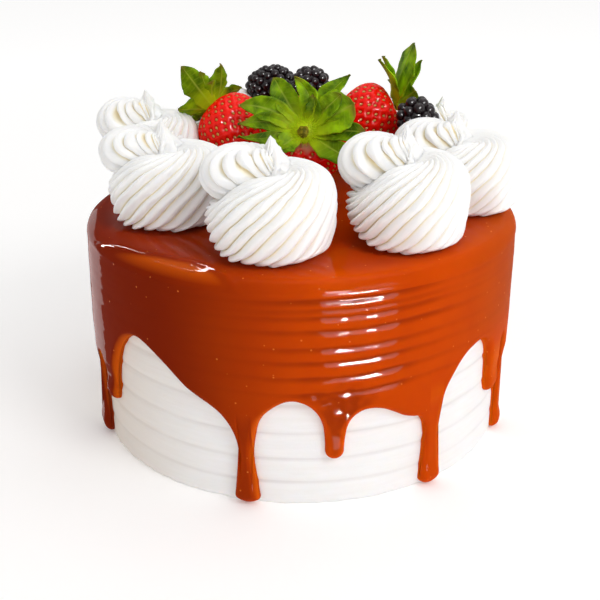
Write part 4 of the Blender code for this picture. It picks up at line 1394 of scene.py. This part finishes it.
seed_drop = ball_mesh(7, 5, 1)
for name, (x, y, z, heading, tilt, radius, length) in STRAWBERRIES.items():
    seat = pose(x, y, z, heading, tilt)
    places = seed_places(radius, length)
    pits = kdtree.KDTree(len(places))
    for number, (spot, out) in enumerate(places):
        pits.insert(spot, number)
    pits.balance()

    def skin_point(column, row):
        """A point of the skin and its ripeness: 0 by the leaves, 1 on the ripe skin, 2 down in a pit, where
        shade is painted.
        """
        polar = pi * row / BERRY_ROWS
        spot = berry_skin(polar, 2.0 * pi * column / BERRY_COLUMNS, radius, length)
        pit = bump(pits.find(spot)[2], PIT_WIDTH)
        shrink = PIT_DEPTH * pit / max(1.0, spot.length)
        swell = SWELLING * noise.noise(spot * SWELL_COUNT + Vector((radius, 0.0, 0.0)))
        return seat @ (spot * (1.0 - shrink + swell) * MM), ramp(polar, PALE_END, PALE_FADE) * (1.0 + pit)

    bm = bmesh.new()
    wrap_grid(bm, BERRY_COLUMNS, BERRY_ROWS, skin_point, "ripe")
    for spot, out in places:
        down = (Vector((0.0, 0.0, -1.0)) - out * -out.z).normalized()
        lying = Matrix((out.cross(down), down, out)).transposed().to_4x4()
        settle = Matrix.Translation((spot - out * PIT_DEPTH * SEED_SUNK) * MM) @ lying
        stamp(bm, seed_drop, seat @ settle @ Matrix.Diagonal(SEED_SIZE))
    print(name, "strawberry:", len(places), "seeds")
    add_piece("berry_" + name, bm, [skin_paint, seed_paint], "strawberry", "strawberry_" + name)

# %% [markdown]
# ## The leafy crowns
# Each strawberry keeps its calyx: a ring of pointed sepals round a fuzzy green boss with the cut stem on it.
# A sepal starts as one flat grid, is bent and waved to its place, and gets its thickness last. Two numbers go
# with each point, how far along the leaf it lies and how far from its midrib, so that the material can draw
# the veins and dry the tips out to brown.

# %% The sizes of the crowns
# Leaves of each crown: angle round it from upright, reach (mm), width, rise of the tip, cup, how far the
# midrib bows to the right, and how far out the leaf is widest (1 is the middle)
CROWN_LEAVES = {
    "centre": [
        (-91.0, 27.5, 7.5, 5.0, 1.6, 2.0, 0.9), (-74.0, 28.5, 9.5, 6.0, 2.0, 2.5, 1.0),
        (-104.0, 27.0, 5.0, 7.5, 0.8, -1.5, 0.8), (-118.0, 22.0, 6.5, 5.0, 1.0, -1.5, 0.9),
        (-36.0, 26.0, 9.5, 2.0, 2.0, 0.0, 1.2), (-13.0, 21.0, 7.5, 7.0, 2.6, 4.5, 1.1),
        (14.0, 14.0, 6.0, 5.5, 1.6, 2.0, 1.0), (38.0, 29.0, 8.0, 4.0, 1.8, -1.5, 1.0),
        (63.0, 23.5, 17.5, 4.5, 2.8, 0.0, 1.6), (47.0, 21.0, 9.0, 5.5, 1.6, 0.0, 1.3),
        (90.0, 26.5, 9.5, 2.5, 1.8, 0.0, 1.2), (117.0, 27.0, 10.0, 2.5, 1.8, 1.0, 1.1),
        (-135.0, 14.0, 9.0, 1.9, 1.0, 0.0, 1.2),
    ],
    "left": [
        (47.5, 26.0, 11.0, 11.0, 2.2, 0.0, 1.0), (31.0, 18.5, 8.0, 7.5, 1.8, 0.0, 1.0),
        (20.0, 14.0, 9.5, 3.0, 2.2, 0.0, 1.2), (-4.0, 19.0, 11.0, 6.5, 1.4, -2.5, 0.95),
        (-69.0, 19.0, 7.5, 0.5, 1.0, 1.0, 1.0), (95.0, 17.0, 9.0, 4.5, 1.4, 0.0, 1.0),
        (150.0, 12.0, 7.0, 1.0, 0.8, 0.0, 1.0), (-130.0, 13.0, 7.0, 1.0, 0.8, 0.0, 1.0),
    ],
    "right": [
        (-15.0, 24.0, 12.5, -1.0, 1.4, -1.5, 1.0), (4.0, 22.0, 8.0, 2.0, 1.8, 0.0, 1.1),
        (-8.0, 22.5, 20.0, 16.5, 1.2, 0.0, 1.1), (-20.0, 15.5, 8.5, 16.5, 1.2, 0.0, 1.1),
        (-66.0, 12.0, 11.0, 8.0, 3.2, 0.0, 1.3), (62.0, 16.0, 9.0, 2.0, 1.4, 0.0, 1.0),
        (140.0, 9.5, 7.0, 1.5, 0.8, 0.0, 1.0), (-140.0, 8.5, 6.0, 1.0, 0.8, 0.0, 1.0),
    ],
}
# Radius of the boss and of the stem stub of each crown (mm)
CROWN_HEARTS = {"centre": (5.2, 2.4), "left": (3.6, 1.5), "right": (3.6, 1.5)}
# How dark the leaves of each crown are: from and to, 0 for young and 1 for old
CROWN_TONES = {"centre": (0.0, 1.0), "left": (0.2, 0.8), "right": (0.0, 0.4)}
LEAF_THICKNESS = 0.5 * MM
LEAF_ACROSS = 12
LEAF_ALONG = 34

# %% Leaf green: its blotches and veins
# The blotches are about 6 mm across. The midrib is drawn close to the middle of a leaf, and nine veins slant
# away from it where the two numbers of a point add up to whole steps
leaf_paint = start_material("fresh sepal", {
    "Roughness": 0.55,
    "IOR": 1.42,
    "Specular IOR Level": 0.08,
    "Subsurface Weight": 0.4,
    "Subsurface Radius": (0.5, 1.0, 0.2),
    "Subsurface Scale": 0.6 * MM,
})
place_on = add_node(leaf_paint, "ShaderNodeTexCoord", {}, {})
along = add_node(leaf_paint, "ShaderNodeAttribute", {"attribute_name": "along"}, {})
aside = add_node(leaf_paint, "ShaderNodeAttribute", {"attribute_name": "aside"}, {})
blotch = add_node(leaf_paint, "ShaderNodeTexNoise", {}, {
    "Vector": place_on.outputs["Object"], "Scale": 170.0, "Detail": 4.0})
blotched = add_node(leaf_paint, "ShaderNodeMapRange", {}, {
    "Value": blotch.outputs["Fac"], "From Min": 0.36, "From Max": 0.66, "To Min": 0.0, "To Max": 1.0})
greens = add_node(leaf_paint, "ShaderNodeMix", {"data_type": "RGBA"}, {
    MIX_FACTOR: blotched.outputs["Result"], MIX_A: hex_colour("#4c7000"), MIX_B: hex_colour("#aad40c")})
midrib = add_node(leaf_paint, "ShaderNodeMapRange", {}, {
    "Value": aside.outputs["Fac"], "From Min": 0.0, "From Max": 0.13, "To Min": 0.75, "To Max": 0.0})
slant = add_node(leaf_paint, "ShaderNodeMath", {"operation": "MULTIPLY_ADD"}, {
    0: along.outputs["Fac"], 1: 9.0, 2: aside.outputs["Fac"]})
rhythm = add_node(leaf_paint, "ShaderNodeMath", {"operation": "PINGPONG"}, {
    0: slant.outputs["Value"], 1: 0.5})
side_veins = add_node(leaf_paint, "ShaderNodeMapRange", {}, {
    "Value": rhythm.outputs["Value"], "From Min": 0.0, "From Max": 0.12, "To Min": 0.22, "To Max": 0.0})
veins = add_node(leaf_paint, "ShaderNodeMath", {"operation": "MAXIMUM"}, {
    0: midrib.outputs["Result"], 1: side_veins.outputs["Result"]})
vein_bump = add_node(leaf_paint, "ShaderNodeBump", {}, {
    "Strength": 0.6, "Distance": 0.25 * MM, "Height": veins.outputs["Value"]})

# %% Leaf green: old leaves, young roots, dry tips and the cut stem
tone = add_node(leaf_paint, "ShaderNodeAttribute", {"attribute_name": "tone"}, {})
toned = add_node(leaf_paint, "ShaderNodeMapRange", {}, {
    "Value": tone.outputs["Fac"], "From Min": 0.0, "From Max": 1.0, "To Min": 0.0, "To Max": 0.6})
young = add_node(leaf_paint, "ShaderNodeMapRange", {}, {
    "Value": along.outputs["Fac"], "From Min": 0.05, "From Max": 0.5, "To Min": 0.9, "To Max": 0.0})
edge_dry = add_node(leaf_paint, "ShaderNodeMath", {"operation": "MULTIPLY_ADD"}, {
    0: blotch.outputs["Fac"], 1: 0.55, 2: along.outputs["Fac"]})
dry = add_node(leaf_paint, "ShaderNodeMapRange", {}, {
    "Value": edge_dry.outputs["Value"], "From Min": 1.12, "From Max": 1.3, "To Min": 0.0, "To Max": 0.8})
scar = add_node(leaf_paint, "ShaderNodeMapRange", {}, {
    "Value": along.outputs["Fac"], "From Min": -0.2, "From Max": -0.8, "To Min": 0.0, "To Max": 0.9})
scar_grain = add_node(leaf_paint, "ShaderNodeTexNoise", {}, {
    "Vector": place_on.outputs["Object"], "Scale": 620.0, "Detail": 2.0})
scar_spread = add_node(leaf_paint, "ShaderNodeMapRange", {}, {
    "Value": scar_grain.outputs["Fac"], "From Min": 0.38, "From Max": 0.62, "To Min": 0.0, "To Max": 1.0})
scar_tone = add_node(leaf_paint, "ShaderNodeMix", {"data_type": "RGBA"}, {
    MIX_FACTOR: scar_spread.outputs["Result"], MIX_A: hex_colour("#4c3a0c"), MIX_B: hex_colour("#a08a20")})

# %% Leaf green: lay the colours over each other
# Dark on an old leaf, pale along the veins, yellow-green at a young root, brown at a dry tip and on the cut
colour = greens.outputs[MIX_RESULT]
for mask, cover in (
        (toned.outputs["Result"], hex_colour("#345200")),
        (veins.outputs["Value"], hex_colour("#a6ba3a")),
        (young.outputs["Result"], hex_colour("#c4dc14")),
        (dry.outputs["Result"], hex_colour("#7a5a24")),
        (scar.outputs["Result"], scar_tone.outputs[MIX_RESULT])):
    covered = add_node(leaf_paint, "ShaderNodeMix", {"data_type": "RGBA"}, {
        MIX_FACTOR: mask, MIX_A: colour, MIX_B: cover})
    colour = covered.outputs[MIX_RESULT]
feed_shader(leaf_paint, {"Base Color": colour, "Normal": vein_bump.outputs["Normal"]})


# %% One leaf
# A leaf starts this far out (mm), inside the boss, and lies this much lower there (mm)
LEAF_START = 2.2
LEAF_ROOT = -1.0
# Least half width (a share), width where it joins the boss, and the two sizes of its teeth (shares)
LEAF_LEAST = 0.03
LEAF_BASE = 0.42
BIG_TEETH = 0.24
SMALL_TEETH = 0.05
# How it lifts (mm): its arch, its twist from side to side, its crimped edge, and the groove of its midrib
LEAF_ARCH = 1.6
LEAF_TWIST = 0.35
EDGE_CRIMP = 0.35
MIDRIB_GROOVE = 0.3
MIDRIB_WIDTH = 0.12


def add_leaf(bm, tone, angle, reach, width, rise, cup, bow, full):
    """Adds one pointed sepal as a thin, cupped, veined body that starts inside the boss."""
    layers = bm.verts.layers.float
    sheet = bmesh.ops.create_grid(bm, x_segments=LEAF_ACROSS, y_segments=LEAF_ALONG, size=1.0)["verts"]
    for vertex in sheet:
        side = vertex.co.x
        share = (vertex.co.y + 1.0) / 2.0
        right = float(side > 0.0)
        middle = sin(pi * share)
        outline = LEAF_BASE * (1.0 - share) ** 3 + sin(pi * share ** full) ** (0.8 / full)
        half = width / 2.0 * max(LEAF_LEAST, outline)
        half *= 1.0 + BIG_TEETH * noise.noise(Vector((share * 6.0, angle, 3.0 * right)))
        half *= 1.0 + SMALL_TEETH * noise.noise(Vector((share * 22.0, angle, 5.0 * right)))
        lift = LEAF_ROOT + (rise - LEAF_ROOT) * share ** 1.5 + LEAF_ARCH * middle
        lift += cup * side * side * middle + LEAF_TWIST * side * sin(9.0 * share + angle)
        lift += EDGE_CRIMP * abs(side) * sin(20.0 * share + 2.0 * angle) * share
        lift -= MIDRIB_GROOVE * bump(side, MIDRIB_WIDTH)
        vertex[layers["along"]] = share
        vertex[layers["aside"]] = abs(side)
        vertex[layers["tone"]] = tone
        vertex.co = Vector((side * half + bow * middle, LEAF_START + (reach - LEAF_START) * share, lift)) * MM
    bmesh.ops.rotate(bm, verts=sheet, matrix=Matrix.Rotation(-radians(angle), 3, "Z"))
    faces = list({face for vertex in sheet for face in vertex.link_faces})
    bmesh.ops.recalc_face_normals(bm, faces=faces)
    bmesh.ops.solidify(bm, geom=faces, thickness=LEAF_THICKNESS)


# %% The boss, the cut stem and their fuzz
# The boss: how rough it is, the size of its lumps, how flat it is, and how far it is sunk
BOSS_ROUGH = 0.26
BOSS_LUMPS = 1.1 * MM
BOSS_FLAT = 0.36
BOSS_SUNK = 0.2 * MM
# The stem: how rough it is and the size of its lumps, how much wider its foot is, its length, and how far it
# is lifted and set down the boss (a share of its radius)
STEM_ROUGH = 0.3
STEM_LUMPS = 1.5 * MM
STEM_FOOT = 1.2
STEM_LENGTH = 3.6 * MM
STEM_LIFT = 0.4 * MM
STEM_DOWN = 0.5
# The hairs: how far they lean from upright, from the first to the last (radians), their length on a boss of
# 5 mm, and what each grows by to the last (mm), their thickness at the root and tip, where they start as a
# share of the boss, their height there (mm), and how far out each is moved
HAIRS = 120
HAIR_LEAN = 0.45
HAIR_LEANS_ON = 1.0
HAIR_LENGTH = 2.2
HAIR_GROWS = 2.4
HAIR_BOSS = 5.0
HAIR_ROOT = 0.34 * MM
HAIR_TIP = 0.03 * MM
HAIR_REACH = 0.95
HAIR_HEIGHT = 0.9
HAIR_OUT = 0.6
# The number across a leaf that the boss, the stem and the hairs carry, all off the midrib's pale line
BOSS_ASIDE = 0.6
STEM_ASIDE = 0.3
HAIR_ASIDE = 0.2


def add_boss(bm, heart):
    """Adds the flat rough boss that the leaves grow from."""
    boss = bmesh.ops.create_uvsphere(bm, u_segments=40, v_segments=24, radius=heart * MM)["verts"]
    for vertex in boss:
        vertex.co *= 1.0 + BOSS_ROUGH * noise.noise(vertex.co / BOSS_LUMPS)
        vertex.co.z = vertex.co.z * BOSS_FLAT - BOSS_SUNK
        vertex[bm.verts.layers.float["aside"]] = BOSS_ASIDE


def add_stem(bm, stub):
    """Adds the stub of the stem, whose number along is below 0 for the brown scar of the cut."""
    stem = bmesh.ops.create_cone(
        bm, cap_ends=True, segments=24, radius1=STEM_FOOT * stub * MM, radius2=stub * MM,
        depth=STEM_LENGTH)["verts"]
    for vertex in stem:
        vertex.co *= 1.0 + STEM_ROUGH * noise.noise(vertex.co / STEM_LUMPS)
        vertex.co.z += STEM_LIFT
        vertex.co.y -= STEM_DOWN * stub * MM
        vertex[bm.verts.layers.float["along"]] = -1.0
        vertex[bm.verts.layers.float["aside"]] = STEM_ASIDE


def add_hair(bm, heart, number):
    """Adds one hair of the fuzz, laid out round the boss by the golden angle."""
    around = radians(GOLDEN_ANGLE * number)
    lean = HAIR_LEAN + HAIR_LEANS_ON * number / HAIRS
    length = (HAIR_LENGTH + HAIR_GROWS * number / HAIRS) * heart / HAIR_BOSS * MM
    hair = bmesh.ops.create_cone(bm, segments=5, radius1=HAIR_ROOT, radius2=HAIR_TIP, depth=length)["verts"]
    out_x, out_y = sin(lean) * sin(around), sin(lean) * cos(around)
    foot = Vector((heart * HAIR_REACH * out_x, heart * HAIR_REACH * out_y, HAIR_HEIGHT)) * MM
    way = Vector((out_x, out_y, cos(lean)))
    turn = way.to_track_quat("Z", "Y").to_matrix().to_4x4()
    bmesh.ops.transform(bm, matrix=Matrix.Translation(foot + way * HAIR_OUT * MM) @ turn, verts=hair)
    for vertex in hair:
        vertex[bm.verts.layers.float["aside"]] = HAIR_ASIDE


# %% Model the crowns
for name, (x, y, z, heading, tilt, _, length) in STRAWBERRIES.items():
    draw = random.Random(name)
    heart, stub = CROWN_HEARTS[name]
    bm = bmesh.new()
    for note in ("along", "aside", "tone"):
        bm.verts.layers.float.new(note)
    add_boss(bm, heart)
    add_stem(bm, stub)
    for number in range(HAIRS):
        add_hair(bm, heart, number)
    for leaf in CROWN_LEAVES[name]:
        add_leaf(bm, draw.uniform(*CROWN_TONES[name]), *leaf)
    seat = pose(x, y, z, heading, tilt) @ Matrix.Translation((0.0, 0.0, length / 2.0 * MM))
    bmesh.ops.transform(bm, matrix=seat, verts=bm.verts)
    add_piece("crown_" + name, bm, [leaf_paint], "leaf", "calyx_" + name)

# %% [markdown]
# ## The brambles
# A bramble is a heap of small round drupelets on a core, each one a tiny fruit with its own skin full of dark
# juice. They pack like balls in a bag, so they are spread evenly over an egg by the golden angle, and each is
# a plain ball of under a hundred faces, moved and sized a little differently. The skin is nearly black, so
# what shows its shape is the small bright spot of light on every ball.

# %% The sizes of the brambles
# Middle (mm, heights over the glaze), heading and tilt of the long axis, radius, length, drupelet (mm)
BRAMBLES = {
    "right": (50.0, 22.0, 30.0, 120.0, -30.0, 9.0, 20.0, 4.5),
    "back_right": (4.0, 48.5, 39.0, -35.0, 20.0, 9.0, 18.5, 3.9),
    "back_left": (-14.0, 62.0, 36.5, -90.0, -6.0, 9.2, 24.0, 3.6),
}
# How far the core lies under the skin (mm), how tightly the drupelets pack, how much the egg tapers, how far
# a drupelet strays (mm), and how its size varies
CORE_DEPTH = 2.2
DRUPELET_PACKING = 0.80
TAPER = 0.14
DRUPELET_STRAY = 0.3
DRUPELET_SIZES = (0.98, 1.14)

# %% Bramble skin
bramble_paint = start_material("ripe bramble skin", {
    "Roughness": 0.3,
    "IOR": 1.42,
    "Specular IOR Level": 0.3,
    "Subsurface Weight": 0.15,
    "Subsurface Radius": (1.0, 0.15, 0.25),
    "Subsurface Scale": 0.8 * MM,
    "Coat Weight": 0.45,
    "Coat Roughness": 0.07,
})
place_on = add_node(bramble_paint, "ShaderNodeTexCoord", {}, {})
ripeness = add_node(bramble_paint, "ShaderNodeTexNoise", {}, {
    "Vector": place_on.outputs["Object"], "Scale": 140.0, "Detail": 2.0})
inks = add_node(bramble_paint, "ShaderNodeMix", {"data_type": "RGBA"}, {
    MIX_FACTOR: ripeness.outputs["Fac"], MIX_A: hex_colour("#08060b"), MIX_B: hex_colour("#220b12")})
feed_shader(bramble_paint, {"Base Color": inks.outputs[MIX_RESULT]})

# %% Model the brambles
drupelet_ball = ball_mesh(12, 8, 0)
for name, (x, y, z, heading, tilt, radius, length, drupelet) in BRAMBLES.items():
    draw = random.Random(name)
    seat = pose(x, y, z, heading, tilt)
    bm = bmesh.new()
    core = bmesh.ops.create_uvsphere(bm, u_segments=24, v_segments=16, radius=1.0)["verts"]
    core_radius = (radius - CORE_DEPTH) * MM
    bmesh.ops.scale(bm, verts=core, vec=[core_radius, core_radius, (length / 2 - CORE_DEPTH) * MM])
    bmesh.ops.transform(bm, matrix=seat, verts=core)
    ball = drupelet / 2.0
    wide = radius - ball
    area = 4.0 * pi * wide * (radius / 2 + length / 4 - ball)
    count = int(area / (DRUPELET_PACKING * drupelet ** 2))
    for number in range(count):
        level = 1.0 - 2.0 * (number + 0.5) / count
        out = wide * (1.0 - TAPER * level) * sqrt(1.0 - level * level)
        angle = radians(GOLDEN_ANGLE * number)
        spot = Vector((out * sin(angle), out * cos(angle), (length / 2 - ball) * level))
        spot += Vector([draw.uniform(-DRUPELET_STRAY, DRUPELET_STRAY) for _ in range(3)])
        size = ball * draw.uniform(*DRUPELET_SIZES) * MM
        stamp(bm, drupelet_ball, seat @ Matrix.Translation(spot * MM) @ Matrix.Scale(size, 4))
    print(name, "bramble:", count, "drupelets")
    add_piece("dark_berry_" + name, bm, [bramble_paint], "bramble", "bramble_" + name)
